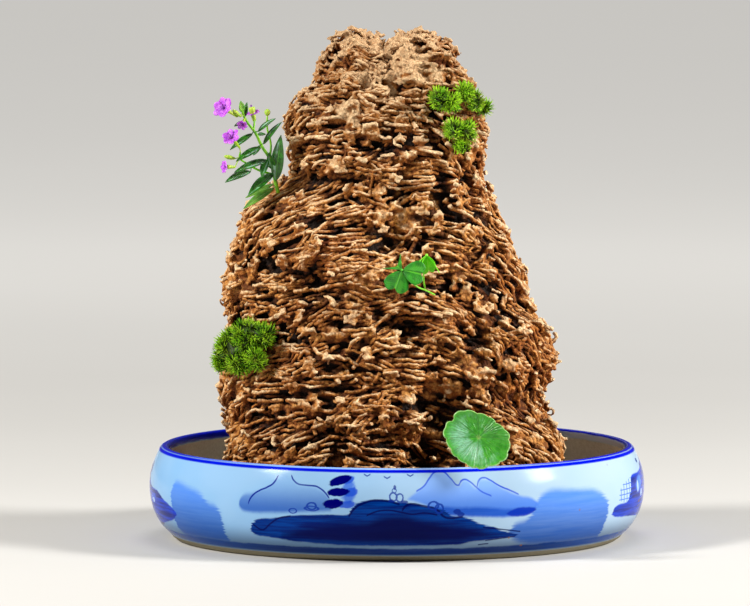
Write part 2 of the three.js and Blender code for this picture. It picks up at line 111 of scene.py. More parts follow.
class Finish:
    """A surface finish built from nodes."""

    def __init__(self, name, **fixed):
        self.material = bpy.data.materials.new(name)
        self.material.use_nodes = True
        self.tree = self.material.node_tree
        self.shader = self.tree.nodes["Principled BSDF"]
        self.place = self.node("ShaderNodeTexCoord").outputs["Object"]
        for label, level in fixed.items():
            self.shader.inputs[label.replace("_", " ").title().replace("Ior", "IOR")].default_value = level

    def node(self, kind, settings=None, inputs=None):
        made = self.tree.nodes.new(kind)
        for label, value in (settings or {}).items():
            setattr(made, label, value)
        for label, value in (inputs or {}).items():
            self.feed(made.inputs[label], value)
        return made

    def feed(self, socket, value):
        value = value.socket if isinstance(value, Reading) else value
        if isinstance(value, bpy.types.NodeSocket):
            self.tree.links.new(value, socket)
        else:
            socket.default_value = value

    def attribute(self, name):
        made = self.node("ShaderNodeAttribute", {"attribute_name": name})
        return Reading(self, made.outputs["Fac"])

    def axes(self):
        """The object coordinates in millimetres."""
        split = self.node("ShaderNodeSeparateXYZ", inputs={0: self.place})
        return [Reading(self, out) * 1000 for out in split.outputs]

    def upward(self):
        """1 where the surface looks up, -1 where it looks down."""
        normal = self.node("ShaderNodeNewGeometry").outputs["Normal"]
        split = self.node("ShaderNodeSeparateXYZ", inputs={0: normal})
        return Reading(self, split.outputs["Z"])

    def noise(self, size, detail=3.0, roughness=0.55, stretch=(1, 1, 1)):
        """Cloudy noise from 0 to 1 whose lumps are about size millimetres across."""
        scaled = self.node("ShaderNodeMapping", inputs={"Vector": self.place, "Scale": stretch})
        made = self.node("ShaderNodeTexNoise", inputs={
            "Vector": scaled.outputs[0], "Scale": 1 / (size * MM), "Detail": detail, "Roughness": roughness})
        return Reading(self, made.outputs["Fac"])

    def cells(self, size):
        """0 in the middle of each cell about size millimetres across, and more towards its edges."""
        made = self.node("ShaderNodeTexVoronoi", inputs={"Vector": self.place, "Scale": 1 / (size * MM)})
        return Reading(self, made.outputs["Distance"])

    def mix(self, share, first, second):
        """The second colour laid over the first. A plain colour is red, green and blue from 0 to 255."""
        first, second = (srgb(*colour) if isinstance(colour, tuple) else colour for colour in (first, second))
        made = self.node("ShaderNodeMix", {"data_type": "RGBA"}, {"Factor": share, 6: first, 7: second})
        return made.outputs[2]

    def layered(self, colour, *layers):
        """A colour with others laid over it in turn, each given as its share and itself."""
        for share, over in layers:
            colour = self.mix(share, colour, over)
        return colour

    def graph(self, along, points):
        """Reads a smooth curve through (0 to 1, 0 to 1) points."""
        made = self.node("ShaderNodeFloatCurve")
        line = made.mapping.curves[0]
        line.points[0].location = points[0]
        line.points[-1].location = points[-1]
        for point in points[1:-1]:
            line.points.new(*point)
        for point in line.points:
            point.handle_type = "AUTO_CLAMPED"
        made.mapping.update()
        self.feed(made.inputs["Value"], along)
        return Reading(self, made.outputs[0])

    def dress(self, colour, roughness=None, bump=None, depth=0.2):
        """Connects the colour, and if given the roughness and a bump of that depth in millimetres."""
        self.feed(self.shader.inputs["Base Color"], colour)
        if roughness is not None:
            self.feed(self.shader.inputs["Roughness"], roughness)
        if bump is not None:
            raised = self.node("ShaderNodeBump", inputs={
                "Strength": 1.0, "Distance": depth * MM, "Height": bump})
            self.feed(self.shader.inputs["Normal"], raised.outputs[0])
        return self.material


# Mesh helpers

def linked(name, data):
    """An object of a mesh, curve, lamp or camera, in the scene."""
    made = bpy.data.objects.new(name, data)
    bpy.context.scene.collection.objects.link(made)
    return made


def piece(name, mesh, finish, slot, *nodes, smooth=True):
    """Makes an object of a mesh that is already in place, and hands it to the frame."""
    mesh.name = name
    if smooth:
        mesh.polygons.foreach_set("use_smooth", [True] * len(mesh.polygons))
    mesh.materials.clear()
    mesh.materials.append(finish)
    made = linked(name, mesh)
    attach(made, "root")
    if nodes:
        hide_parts(*nodes)
    return made


def mesh_of(bm):
    mesh = bpy.data.meshes.new("shape")
    bm.to_mesh(mesh)
    bm.free()
    return mesh


def evaluated(holder):
    """The mesh of an object as its modifiers or its bevel make it."""
    shape = holder.evaluated_get(bpy.context.evaluated_depsgraph_get())
    return bpy.data.meshes.new_from_object(shape)


def round_curve(name, resolution):
    """An empty curve that becomes a tube with closed ends, as wide as the radius at its points says."""
    curve = bpy.data.curves.new(name, "CURVE")
    curve.dimensions = "3D"
    curve.bevel_depth = MM
    curve.bevel_resolution = resolution
    curve.use_fill_caps = True
    return curve


def mesh_of_curve(curve):
    holder = linked("curve", curve)
    bpy.context.view_layer.update()
    mesh = evaluated(holder)
    bpy.data.objects.remove(holder)
    bpy.data.curves.remove(curve)
    return mesh


def spun(bm, line, axis, steps, near, closed=True):
    """Turns a line of vertices once round an axis through the origin, and closes its ends."""
    edges = [bm.edges.new(pair) for pair in zip(line, line[1:])]
    bmesh.ops.spin(
        bm, geom=line + edges, cent=(0, 0, 0), axis=axis, dvec=(0, 0, 0), angle=2 * math.pi, steps=steps,
        use_merge=True, use_duplicate=False)
    bmesh.ops.remove_doubles(bm, verts=bm.verts, dist=near)
    if closed:
        bmesh.ops.holes_fill(bm, edges=[e for e in bm.edges if e.is_boundary], sides=0)
        bmesh.ops.recalc_face_normals(bm, faces=bm.faces)


def paint(mesh, name, levels):
    """Stores a number on each vertex."""
    layer = mesh.attributes.get(name) or mesh.attributes.new(name, "FLOAT", "POINT")
    layer.data.foreach_set("value", np.asarray(levels, dtype=np.float32))


def joined(template, matrices, **numbers):
    """One mesh of many copies of a small one. Each number is a list with one entry for each copy."""
    count = len(template.vertices)
    corner = np.empty(count * 3)
    template.vertices.foreach_get("co", corner)
    corner = np.c_[corner.reshape(-1, 3), np.ones(count)]
    placed = np.einsum("nij,vj->nvi", np.array([m[:3] for m in map(np.array, matrices)]), corner)
    faces = [tuple(p.vertices) for p in template.polygons]
    made = bpy.data.meshes.new("many")
    made.from_pydata(
        placed.reshape(-1, 3), [],
        [tuple(v + count * n for v in face) for n in range(len(matrices)) for face in faces])
    for name, levels in numbers.items():
        paint(made, name, np.repeat(levels, count))
    for layer in template.attributes:
        if layer.data_type == "FLOAT" and layer.domain == "POINT":
            paint(made, layer.name, np.tile([d.value for d in layer.data], len(matrices)))
    return made


def merged(meshes):
    """One mesh out of several that are already in place, with the numbers on their vertices."""
    corners, faces, numbers, start = [], [], {}, 0
    total = sum(len(mesh.vertices) for mesh in meshes)
    for mesh in meshes:
        count = len(mesh.vertices)
        at = np.empty(count * 3)
        mesh.vertices.foreach_get("co", at)
        corners.append(at.reshape(-1, 3))
        faces += [tuple(v + start for v in p.vertices) for p in mesh.polygons]
        for layer in mesh.attributes:
            if layer.data_type == "FLOAT" and layer.domain == "POINT":
                levels = np.empty(count, dtype=np.float32)
                layer.data.foreach_get("value", levels)
                whole = numbers.setdefault(layer.name, np.zeros(total, dtype=np.float32))
                whole[start:start + count] = levels
        start += count
    made = bpy.data.meshes.new("merged")
    made.from_pydata(np.concatenate(corners), [], faces)
    for name, levels in numbers.items():
        paint(made, name, levels)
    for mesh in meshes:
        bpy.data.meshes.remove(mesh)
    return made


def aimed(origin, along, up=Vector((0, 0, 1)), scale=(1, 1, 1)):
    """A placement that turns +X along a direction, with +Z as near up as it can be."""
    along = along.normalized()
    side = up.cross(along)
    side = side.normalized() if side.length > 1e-6 else along.orthogonal().normalized()
    top = along.cross(side)
    turn = Matrix((along, side, top)).transposed().to_4x4()
    return Matrix.Translation(origin) @ turn @ Matrix.Diagonal((*scale, 1))


def thickened(bm, wall):
    bmesh.ops.recalc_face_normals(bm, faces=bm.faces)
    bmesh.ops.solidify(bm, geom=bm.faces[:], thickness=wall)
    bmesh.ops.recalc_face_normals(bm, faces=bm.faces)


def millimetres(*point):
    return Vector(point) * MM


# The tray

TRAY_PROFILE = [  # radius and height, from the middle of the foot over the lip to the middle of the floor
    (0.1, 1.5), (76, 1.5), (78, 1.2), (79, 0.3), (80, 0.02), (85.4, 0.02), (87, 0.25), (88.4, 1.2),
    (89.6, 2.6), (90.6, 3.6), (92.8, 5.8), (94.6, 8.6), (96, 11.8), (96.9, 15.2), (97.35, 18.6),
    (97.42, 22), (97.05, 25.4), (96.25, 28.6), (95.2, 31.4), (94.2, 33.6), (93.6, 35), (92.9, 36),
    (91.9, 36.5), (90.8, 36.5), (89.9, 36), (89.5, 35.2), (89.7, 33.8), (90.4, 32), (91.5, 29.4),
    (92.5, 26.4), (93.1, 23), (93.2, 19.6), (92.8, 16), (91.8, 12.6), (90, 9.4), (87.2, 6.8), (83.6, 5.4),
    (79, 5.02), (60, 5), (0.1, 5),
]
TRAY_STEPS = 144
BARE_FOOT_TOP = 2.3  # height where the glaze starts
PAINTED_RING = (2.6, 5.9)
PAINTING_LIFT = -0.8  # the tables below were read a little too high
INNER_GLAZE = 33.4  # height down to which the inside is glazed
PAINTING_HALF = 90  # the painted landscape fills this many degrees each side of the front, and repeats behind

PER_DEGREE = math.radians(97.4)  # millimetres along the belly for each degree
LINE_SCALE = 40  # millimetres of height that a painted line's curve spans

# The painting. Outlines and lines are (degrees from the front, height in mm), ovals are middle, half width
# and half height.
RIDGE_TOP = [
    (-36.2, 12), (-35.3, 14.8), (-33.6, 16.8), (-30, 17.4), (-24.2, 19), (-16.5, 19.8), (-11.3, 20),
    (-10.5, 22.2), (-8.2, 25), (-3.6, 25.9), (0.7, 24.9), (3.9, 24.3), (8.5, 22.5), (10.6, 21.7),
    (12.4, 19.4), (15.3, 18.9), (18.7, 16.4), (21.5, 15.2), (25, 12.9), (29, 11),
]
RIDGE_BOTTOM = [
    (-36.2, 11.6), (-35.5, 10.4), (-31.2, 9.4), (-27, 8.6), (-21, 8), (-11, 7.4), (4, 7.4), (14.7, 7.6),
    (17.8, 8.6), (22.5, 9.2), (29, 10),
]
SHADOW_TOP = [
    (-28, 12), (-22, 15.2), (-12, 17.6), (-7, 18.2), (-3, 20.4), (1, 20.8), (5, 19.4), (10, 17.6),
    (18, 15.4), (24, 12.4), (29, 11),
]
HILL_TOP = [
    (-39, 21), (-38.8, 23.6), (-37.6, 26.2), (-35.3, 27.2), (-33.3, 28.3), (-30.5, 30.6), (-28.9, 33.4),
    (-27.3, 34.8), (-25.7, 33.7), (-23.5, 31), (-19.1, 30.4), (-16.6, 28.3), (-15.6, 26), (-15, 22.6),
]
HILL_BOTTOM = [
    (-39, 20.6), (-37.4, 18.7), (-35.1, 18.4), (-29.9, 18.8), (-25.8, 19.1), (-20, 20), (-15, 20.6),
]
MOUNTAIN_TOP = [
    (1.9, 25.9), (4.3, 29), (6.1, 31), (8.7, 36), (11.1, 36), (14.1, 31), (15.8, 33), (18.5, 29.9),
    (19.6, 33), (21.8, 32.6), (24.1, 30.2), (28.8, 26.6), (32.4, 25), (34.2, 22.4),
]
MOUNTAIN_BOTTOM = [
    (1.9, 25.4), (6.8, 22.8), (9.7, 19.6), (15.3, 18.8), (18.8, 18.3), (25.1, 17.8), (29.3, 18),
    (32.4, 19.2), (33.6, 21.2),
]
BAND_TOP = [(1.9, 24.4), (11.2, 23.2), (20.3, 22.6), (26.6, 21.6), (33.6, 21.3)]
LOBE_TOP = [(25.4, 19.6), (27.4, 21.2), (30.6, 21.8), (32.6, 21.4), (33.6, 20.6)]
LOBE_BOTTOM = [(25.4, 19.2), (27, 18.1), (29.3, 17.9), (32, 18.7), (33.6, 20.3)]
LEFT_WASH = ([(-65, 23), (-62.5, 28.2), (-56.1, 26.8), (-51.5, 25), (-49, 22), (-46, 20.8), (-44.4, 18)],
             [(-65, 8), (-62, 5), (-44.4, 5)])
RIGHT_WASH = (
    [
        (26.4, 12), (27.8, 15.8), (31.5, 18), (33.6, 24), (35.6, 27.2), (39.3, 28.6), (45.2, 27.6),
        (53.7, 25.8), (57.8, 21),
    ],
    [(26.4, 11), (29, 7.6), (34, 5.6), (57.8, 5)],
)
LEFT_ROCK = (
    [
        (-90, 31.5), (-87, 28), (-84, 24.5), (-80, 22.5), (-74.8, 22.2), (-69.7, 19.4), (-65, 17),
        (-62.6, 14.8),
    ],
    [(-90, 7.5), (-84, 7), (-78, 7.5), (-74, 9), (-69.9, 10.2), (-65, 12), (-62.6, 14.4)],
)
RIGHT_ROCK = (
    [
        (59.6, 15), (60.6, 17.4), (63.3, 18.5), (67, 18.6), (68.8, 20.6), (69.7, 23.4), (70.4, 27),
        (72, 28.6), (78, 28.8), (84, 31), (89, 34),
    ],
    [(59.6, 14.6), (61.4, 13.5), (64, 12.9), (68.6, 12.5), (80, 11), (89, 10.6)],
)
ROCK_LIGHTS = [((-80, 18, 4, 2), (40, 90, 220)), ((77, 24.5, 3.2, 3), (70, 130, 235))]  # oval and colour
LATTICE = ([(62.4, 21), (63.6, 24.2), (66.8, 26.6), (70.6, 27.8)], [(62.4, 19.8), (66, 18.4), (70.6, 18.4)])
# Points, then width in mm
FAR_LINES = [
    (
        [
            (-36.2, 22.3), (-35.8, 23.8), (-34.8, 25.9), (-33.2, 27.7), (-31.2, 29.2), (-29.7, 31),
            (-28.9, 33.6),
        ],
        0.65,
    ),
    (
        [
            (-25.6, 33.9), (-24.7, 32.1), (-23.3, 30.8), (-21.1, 30.5), (-19.1, 30.3), (-17.5, 29.1),
            (-16.5, 27.7), (-15.6, 26),
        ],
        0.55,
    ),
    (
        [
            (4.3, 28.9), (6.1, 30.8), (7.3, 33.4), (8.7, 35.8), (9.9, 36.2), (11.1, 35.8), (12.5, 33.4),
            (14.1, 30.9), (14.9, 32.4), (15.8, 33), (17, 32.1), (18.5, 29.8), (19.7, 28.2), (21.9, 26.5),
        ],
        0.6,
    ),
    (
        [
            (18.5, 29.7), (18.9, 31.6), (19.6, 33), (20.6, 33.4), (21.8, 32.6), (24.1, 30.2), (26.9, 28.1),
            (28.8, 26.6),
        ],
        0.6,
    ),
]
NEAR_LINES = [
    ([(-11.1, 19.2), (-9.7, 22.3), (-7.6, 24.4), (-4.7, 25.5), (-1.9, 25.1), (0.5, 24)], 0.8),
    (
        [
            (1, 21.7), (1.9, 23.4), (3.3, 24.1), (5.6, 23.4), (9.1, 21.6), (10.3, 19.4), (12.1, 18.4),
            (15, 18.9),
        ],
        0.8,
    ),
    ([(-35.3, 14.3), (-32.9, 12.4), (-30.5, 14.9), (-28.3, 17.2), (-25, 18.5)], 0.6),
    ([(-7, 19.6), (-4.5, 21.3), (-2, 21.7), (1, 20.9), (3.5, 20.2), (6, 20.6), (9, 19.8)], 0.6),
    ([(20, 14.4), (25, 13.2), (29.6, 12)], 0.5), ([(21, 9), (24, 9.5), (28.6, 10.2)], 0.45),
    ([(19.4, 7.4), (20.6, 7.6), (22, 7.7)], 0.45),
]
BIRDS = [(-7.1, 34.5), (-2.4, 33.7), (3, 34.5)]
RINGS = [
    (-0.95, 26.8, 0.8, 1.6), (0.5, 26.4, 0.8, 1.5), (-0.75, 29.1, 0.5, 0.8), (8.2, 23.4, 1.1, 1.5),
    (9.5, 22.2, 0.9, 1.7), (-24.4, 20.6, 0.9, 0.9), (-19.8, 22.7, 1.1, 1.3), (-19.8, 21.8, 1.6, 0.9),
]
SPOTS = [
    (-0.6, 30.4, 0.3, 0.9), (13.6, 20.9, 0.9, 1.0), (14.5, 19.8, 0.8, 0.9), (1.6, 24.9, 0.8, 0.6),
    (-1.4, 25.2, 0.7, 0.7), (81, 32.6, 1.1, 1.0), (84, 29.8, 1.4, 1.5), (-86, 29.4, 1.6, 2.4),
]
STACKED_CLOUDS = [  # dark blob, the lighter one beside it, and how much the pair climbs to the right
    ((-13.4, 32.7, 2.6, 1.75), (-11.4, 33, 1.5, 1.6), 0.42),
    ((-13.6, 28.4, 2.5, 1.65), (-10.7, 28.4, 1.7, 1.8), 0.1),
    ((-14.8, 23.9, 2.3, 1.8), (-11.4, 23.7, 2.0, 1.5), 0.12),
]
CLOUD_WASH = (-11.2, 28.6, 1.7, 5.6)  # oval of thin colour that joins the clouds
WHITE_GAPS = [(75.6, 23.4, 0.9, 2.4), (79.5, 20.4, 1.0, 1.6), (-79, 17.5, 1.4, 1.0)]


class Painting:
    """Strokes of cobalt on the tray's side, each laid over what is there already."""

    def __init__(self, finish, paper):
        self.finish = finish
        self.colour = paper
        x, y, z = finish.axes()
        around = x.math("ARCTAN2", y * -1) * (180 / math.pi)
        self.degrees = (around + PAINTING_HALF).math("WRAP", 2 * PAINTING_HALF, 0) - PAINTING_HALF
        self.height = z - PAINTING_LIFT
        self.shake = finish.noise(7, 3) - 0.5
        self.flutter = finish.noise(1.6, 2) - 0.5
        self.streaks = finish.noise(9, 4, 0.6, (0.35, 0.35, 7))
        self.threads = finish.noise(3.5, 3, 0.6, (0.25, 0.25, 6))
        self.a = self.degrees + self.shake * 0.5
        self.h = self.height + self.shake * 0.7 + self.flutter * 0.35

    def lay(self, share, colour):
        self.colour = self.finish.mix(share.math("MINIMUM", 1.0), self.colour, colour)

    def line(self, degrees, points):
        """The height of a smooth line through points at each degree."""
        low, high = points[0][0], points[-1][0]
        along = ((degrees - low) / (high - low)).most(0.0).least(1.0)
        shares = [((a - low) / (high - low), h / LINE_SCALE) for a, h in points]
        return self.finish.graph(along, shares) * LINE_SCALE

    def inside(self, top, bottom, soft=0.5, torn=0.0):
        """How far inside an outline a place is. Torn ends follow the threads of a dry brush."""
        a = self.a + (self.threads - 0.5) * torn
        h = self.h + (self.threads - 0.5) * torn * 0.15
        below = (self.line(a, top) - h).rise(-soft * 0.3, soft)
        above = (h - self.line(a, bottom)).rise(-soft * 0.3, soft)
        left, right = top[0][0], top[-1][0]
        return below * above * a.rise(left - 0.2, left + 0.5) * a.rise(right + 0.2, right - 0.5)

    def contour(self, points, width):
        """A brush line of even width along a smooth curve."""
        a = self.degrees + self.shake * 0.2
        slope = (self.line(a + 0.3, points) - self.line(a - 0.3, points)) / (0.6 * PER_DEGREE)
        off = abs(self.height + self.flutter * 0.15 - self.line(a, points)) / (slope ** 2 + 1) ** 0.5
        left, right = points[0][0], points[-1][0]
        ends = a.rise(left - 0.15, left + 0.15) * a.rise(right + 0.15, right - 0.15)
        return off.rise(width * 0.75, width * 0.3) * ends

    def reach(self, oval, climb=0.0, wobble=0.5):
        """1 on the edge of an oval and 0 in its middle."""
        middle, level, wide, high = oval
        across = self.degrees + self.flutter * wobble - middle
        up = self.height + self.flutter * wobble - level - across * climb
        return ((across / wide) ** 2 + (up / high) ** 2) ** 0.5

    def bird(self, middle, level):
        """Two short wings that meet in a dip."""
        off = abs(self.height - level - abs(self.degrees - middle) * 0.9)
        return off.rise(0.42, 0.15) * abs(self.degrees - middle).rise(0.95, 0.6)

    def any(self, shares):
        first, *others = shares
        for share in others:
            first = first.most(share)
        return first


def tray_finish():
    finish = Finish("blue and white porcelain", coat_roughness=0.05, ior=1.13, coat_ior=1.2)
    x, _, z = finish.axes()
    # The glaze ground, paler towards the right; its last layer is painted shade that darkens it towards the
    # foot.
    paper = finish.layered(
        finish.mix(x.rise(-70, 90), (130, 177, 221), (172, 195, 213)),
        (finish.noise(40, 2).rise(0.35, 0.65) * 0.4, (158, 191, 222)),
        (z.rise(14, 4) * 0.8, (76, 100, 132)))
    work = Painting(finish, paper)
    streaks, pool = work.streaks, finish.noise(14, 3)
    washed = finish.graph(work.h.rise(5, 28), [(0, 0), (0.5, 0.45), (0.8, 0.8), (1, 1)])
    washed = finish.mix(washed, (32, 78, 158), (78, 134, 228))
    for outline in (LEFT_WASH, RIGHT_WASH):
        work.lay(work.inside(*outline, 2.6, 3.4) * streaks.rise(0.25, 0.75, 0.97, 0.86), washed)
    hill = finish.mix(work.h.rise(20, 33), (44, 92, 178), (128, 172, 220))
    work.lay(work.inside(HILL_TOP, HILL_BOTTOM, 1.8) * 0.93, hill)
    far = finish.mix(work.h.rise(20, 34), (58, 116, 218), (130, 172, 240))
    work.lay(work.inside(MOUNTAIN_TOP, MOUNTAIN_BOTTOM, 1.4) * 0.92, far)
    work.lay(work.inside(BAND_TOP, MOUNTAIN_BOTTOM, 1.4) * streaks.rise(0.3, 0.7, 0.9, 0.75), (20, 76, 186))
    work.lay(work.inside(LOBE_TOP, LOBE_BOTTOM, 0.7) * 0.9, (2, 42, 168))

    work.lay(work.reach(CLOUD_WASH, 0, 1.1).rise(1.15, 0.6) * 0.85, (48, 98, 206))
    for dark, light, climb in STACKED_CLOUDS:
        work.lay(work.reach(light, climb, 1.2).rise(1.1, 0.75) * 0.9, (30, 76, 200))
        work.lay(work.reach(dark, climb, 1.2).rise(1.12, 0.88), (0, 0, 104))

    teal = finish.mix(streaks.rise(0.35, 0.65), (0, 26, 104), (0, 60, 146))
    work.lay(work.inside(RIDGE_TOP, RIDGE_BOTTOM, 0.6, 3.2), teal)
    work.lay(work.inside(SHADOW_TOP, RIDGE_BOTTOM, 3.6, 3.0) * streaks.rise(0.25, 0.6, 0.98, 0.8), (0, 4, 72))
    work.lay(work.any([work.contour(points, width) for points, width in NEAR_LINES]) * 0.85, (0, 2, 74))

    cobalt = finish.mix(streaks.rise(0.35, 0.65), (0, 4, 112), (8, 54, 196))
    for outline in (LEFT_ROCK, RIGHT_ROCK):
        work.lay(work.inside(*outline, 0.6, 1.2) * 0.96, cobalt)
    for oval, light in ROCK_LIGHTS:
        work.lay(work.reach(oval, 0.3, 1.6).rise(1.15, 0.6) * 0.8, light)
    net = work.any([
        abs((reading / pitch).math("FRACT") - 0.5).rise(0.13, 0.06)
        for reading, pitch in ((work.a, 1.7), (work.h, 1.9))])
    work.lay(work.inside(*LATTICE, 0.3) * net * 0.85, (24, 84, 220))
    work.lay(work.any([work.reach(gap).rise(1.1, 0.8) for gap in WHITE_GAPS]) * 0.8, (176, 204, 244))

    lines = work.any([work.contour(points, width) for points, width in FAR_LINES])
    ink = finish.mix(work.degrees.rise(-5, 5), (6, 32, 140), (28, 72, 210))
    work.lay(lines * pool.rise(0.3, 0.6, 0.95, 0.7), ink)
    loops = work.any([abs(work.reach(ring, 0, 0.4) - 1).rise(0.3, 0.14) for ring in RINGS])
    work.lay(loops.most(work.any([work.bird(*place) for place in BIRDS])) * 0.85, (10, 48, 150))
    work.lay(work.any([work.reach(spot).rise(1.2, 0.8) for spot in SPOTS]) * 0.8, (6, 34, 132))

    ring_low, ring_high = PAINTED_RING
    ring = z.rise(ring_low, ring_low + 0.5) * (z + work.shake * 1.2).rise(ring_high, ring_high - 0.8)
    band = finish.mix(abs(work.degrees).rise(20, 60), (0, 34, 104), (0, 66, 148))
    work.lay(ring * streaks.rise(0.2, 0.7, 0.97, 0.85), band)

    run = finish.attribute("run")
    bright = finish.mix(pool, (0, 0, 176), (2, 30, 222))
    work.lay(run.rise(LIP_RUN - 3.5, LIP_RUN - 2.9) * run.rise(LIP_RUN - 1.5, LIP_RUN - 2.0), bright)
    lip_top = run.rise(LIP_RUN - 1.9, LIP_RUN - 1.1) * run.rise(LIP_RUN + 1.0, LIP_RUN + 0.2)
    # The top of the lip: cobalt paint on the sides, and pale blue in the middle as a painted highlight.
    aside = abs(x + 10)
    lip_blue_and_highlight = finish.mix(aside.rise(20, 80), (96, 130, 244), (0, 14, 196))
    work.lay(lip_top * aside.rise(30, 80, 1.0, 0.35), lip_blue_and_highlight)
    glazed = run + work.shake * 0.8
    past_lip = glazed.rise(LIP_RUN + 0.2, LIP_RUN + 0.8)
    rim_blue = finish.mix(x.rise(-5, 25), bright, (186, 200, 226))
    work.lay(past_lip * glazed.rise(LIP_RUN + 4.4, LIP_RUN + 3.4), rim_blue)
    work.lay(past_lip * glazed.rise(LIP_RUN + 2.0, LIP_RUN + 1.4), bright)
    specks = finish.cells(9).rise(0.075, 0.05) * finish.noise(30, 1).rise(0.56, 0.62)
    work.lay(specks * 0.8, (140, 92, 46))

    grit = finish.noise(1.2, 4, 0.7)
    inside = (run + work.shake).rise(BARE_RUN - 0.4, BARE_RUN + 0.4)
    foot = run.rise(FOOT_RUN + 0.3, FOOT_RUN - 0.3)
    bare = inside.most(foot)
    clay = finish.layered(
        finish.mix(finish.noise(26, 4), (192, 192, 184), (222, 216, 200)),
        (grit.rise(0.35, 0.7) * 0.3, (140, 132, 114)),
        (foot * 0.85, (124, 114, 86)))
    colour = finish.mix(bare, work.colour, clay)
    roughness = bare * 0.62 + 0.12 + finish.noise(18, 2) * 0.06
    finish.feed(finish.shader.inputs["Coat Weight"], (1 - bare) * 0.03)
    relief = bare * grit * 0.35 + finish.noise(16, 2) * (1 - bare) * 0.5
    return finish.dress(colour, roughness, relief, 0.3)


def run_to(height, rising):
    """Distance along the tray's profile to a height, on the way up outside or down inside."""
    total = 0
    peak = max(range(len(TRAY_PROFILE)), key=lambda n: TRAY_PROFILE[n][1])
    for n, (first, second) in enumerate(zip(TRAY_PROFILE, TRAY_PROFILE[1:])):
        step = math.dist(first, second)
        between = min(first[1], second[1]) <= height <= max(first[1], second[1])
        if between and (n < peak) == rising and n > 5:
            return total + step * abs(height - first[1]) / max(1e-6, abs(second[1] - first[1]))
        total += step
    return total


LIP_RUN = run_to(36.4, False) - 0.6
FOOT_RUN = run_to(BARE_FOOT_TOP, True)
BARE_RUN = run_to(INNER_GLAZE, False)


def tray():
    bm = bmesh.new()
    run_layer = bm.verts.layers.float.new("run")
    ring, total = [], 0.0
    for n, (radius, height) in enumerate(TRAY_PROFILE):
        total += math.dist(TRAY_PROFILE[n - 1], (radius, height)) if n else 0.0
        vert = bm.verts.new(millimetres(radius, 0, height))
        vert[run_layer] = total
        ring.append(vert)
    spun(bm, ring, (0, 0, 1), TRAY_STEPS, 1e-6)
    piece("tray_bowl", mesh_of(bm), tray_finish(), "glaze", "tray")


# The stone. Its skin is read from the frame's stone along rays from its own axis.

AXIS = (-4.0, -2.0)
HINGE = 165.0  # above this height the rays fan out from one point, up to straight up
FAN = 60.0  # millimetres of the level scale that the fan takes
LEVEL_LOW = 5.4
TURNS = 240  # rays round the axis, and levels of them from the foot to the top
LEVELS = 216
WIDEST = 82  # a little more than the skin's greatest distance from the axis
RAY_START = 150.0  # distance from the axis at which a ray starts inwards


def ray_from(azimuth, level):
    rise = max(0.0, level - HINGE) / FAN * math.pi / 2
    origin = Vector((*AXIS, min(level, HINGE)))
    flat = math.cos(rise)
    return origin, Vector((math.cos(azimuth) * flat, math.sin(azimuth) * flat, math.sin(rise)))


class Skin:
    """The stone's outer shape as its reach along each ray, in millimetres."""

    def __init__(self, stone):
        tree = BVHTree.FromObject(stone, bpy.context.evaluated_depsgraph_get())
        self.step = (HINGE + FAN - LEVEL_LOW) / (LEVELS - 1)
        reach = np.zeros((LEVELS, TURNS))
        for i in range(LEVELS):
            for j in range(TURNS):
                origin, way = ray_from(2 * math.pi * j / TURNS, LEVEL_LOW + self.step * i)
                hit = tree.ray_cast((origin + way * RAY_START) * MM, -way)
                reach[i, j] = RAY_START - hit[3] / MM if hit[0] else reach[i - 1, j]
        self.reach = self.calmed(reach)

    @staticmethod
    def calmed(reach):
        """Evens the reach out over its neighbours, round the axis and up and down, twice."""
        for _ in range(2):
            around = sum(np.roll(reach, shift, axis=1) for shift in (-1, 0, 1)) / 3
            padded = np.pad(around, ((1, 1), (0, 0)), mode="edge")
            reach = sum(padded[n:n + LEVELS] for n in range(3)) / 3
        return reach

    def read(self, azimuth, level):
        i = min(max((level - LEVEL_LOW) / self.step, 0), LEVELS - 1.001)
        j = azimuth / (2 * math.pi) * TURNS % TURNS
        i0, j0 = int(i), int(j)
        u, v = i - i0, j - j0
        j0 %= TURNS
        j1 = (j0 + 1) % TURNS
        low = self.reach[i0, j0] * (1 - v) + self.reach[i0, j1] * v
        high = self.reach[i0 + 1, j0] * (1 - v) + self.reach[i0 + 1, j1] * v
        return low * (1 - u) + high * u

    def spot(self, azimuth, level, out=0.0):
        origin, way = ray_from(azimuth, level)
        return origin + way * (self.read(azimuth, level) + out)


SKIN = Skin(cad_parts["stone"])

# How the reeds lie: degrees round the stone (0 right, -90 front, 90 back), then their rise
LIE = [
    (-180, 68), (-160, 46), (-142, 14), (-115, 7), (-90, 6), (-72, 0), (-56, -24), (-38, -42), (-15, -56),
    (20, -40), (70, -6), (120, 10), (155, 40), (180, 68),
]
SWIRL = 26  # degrees by which their lie wanders
STEEPEST = 48  # rise up to which the shelves follow the reeds
STRATA_RADIUS = 70  # distance from the axis at which their climb is worked out
DEEP_REEDS = (1100, (-4.6, -3.4), (12, 28))  # count, depths and lengths of the single reeds next to the core
BUNDLES = [  # count, reeds in each, depths, lengths, share of ends that stand clear
    (560, (2, 5), (-3.2, -1.9), (9, 24), 0.2),
    (860, (2, 5), (-1.9, -0.4), (7, 22), 0.3),
]
REED_RADII = (0.58, 0.86)
REED_GAP = 1.75  # distance between the middles of neighbouring reeds in a bundle
REED_PITCH = 1.6  # distance between the rings of a reed
REED_WAVE = 0.25  # how far a reed winds in and out
END_LIFT = (1.2, 0.4)  # how far the last two rings of an end stand clear, where it does
END_SINK = 1.0  # how far any other end dips in
CROSSINGS = 0.12  # share of the bundles that lie across the others
BARE_CROWN = 0.15  # share of the bundles that the crown goes without
KNOTS = 1220  # lumps of broken ends and lime
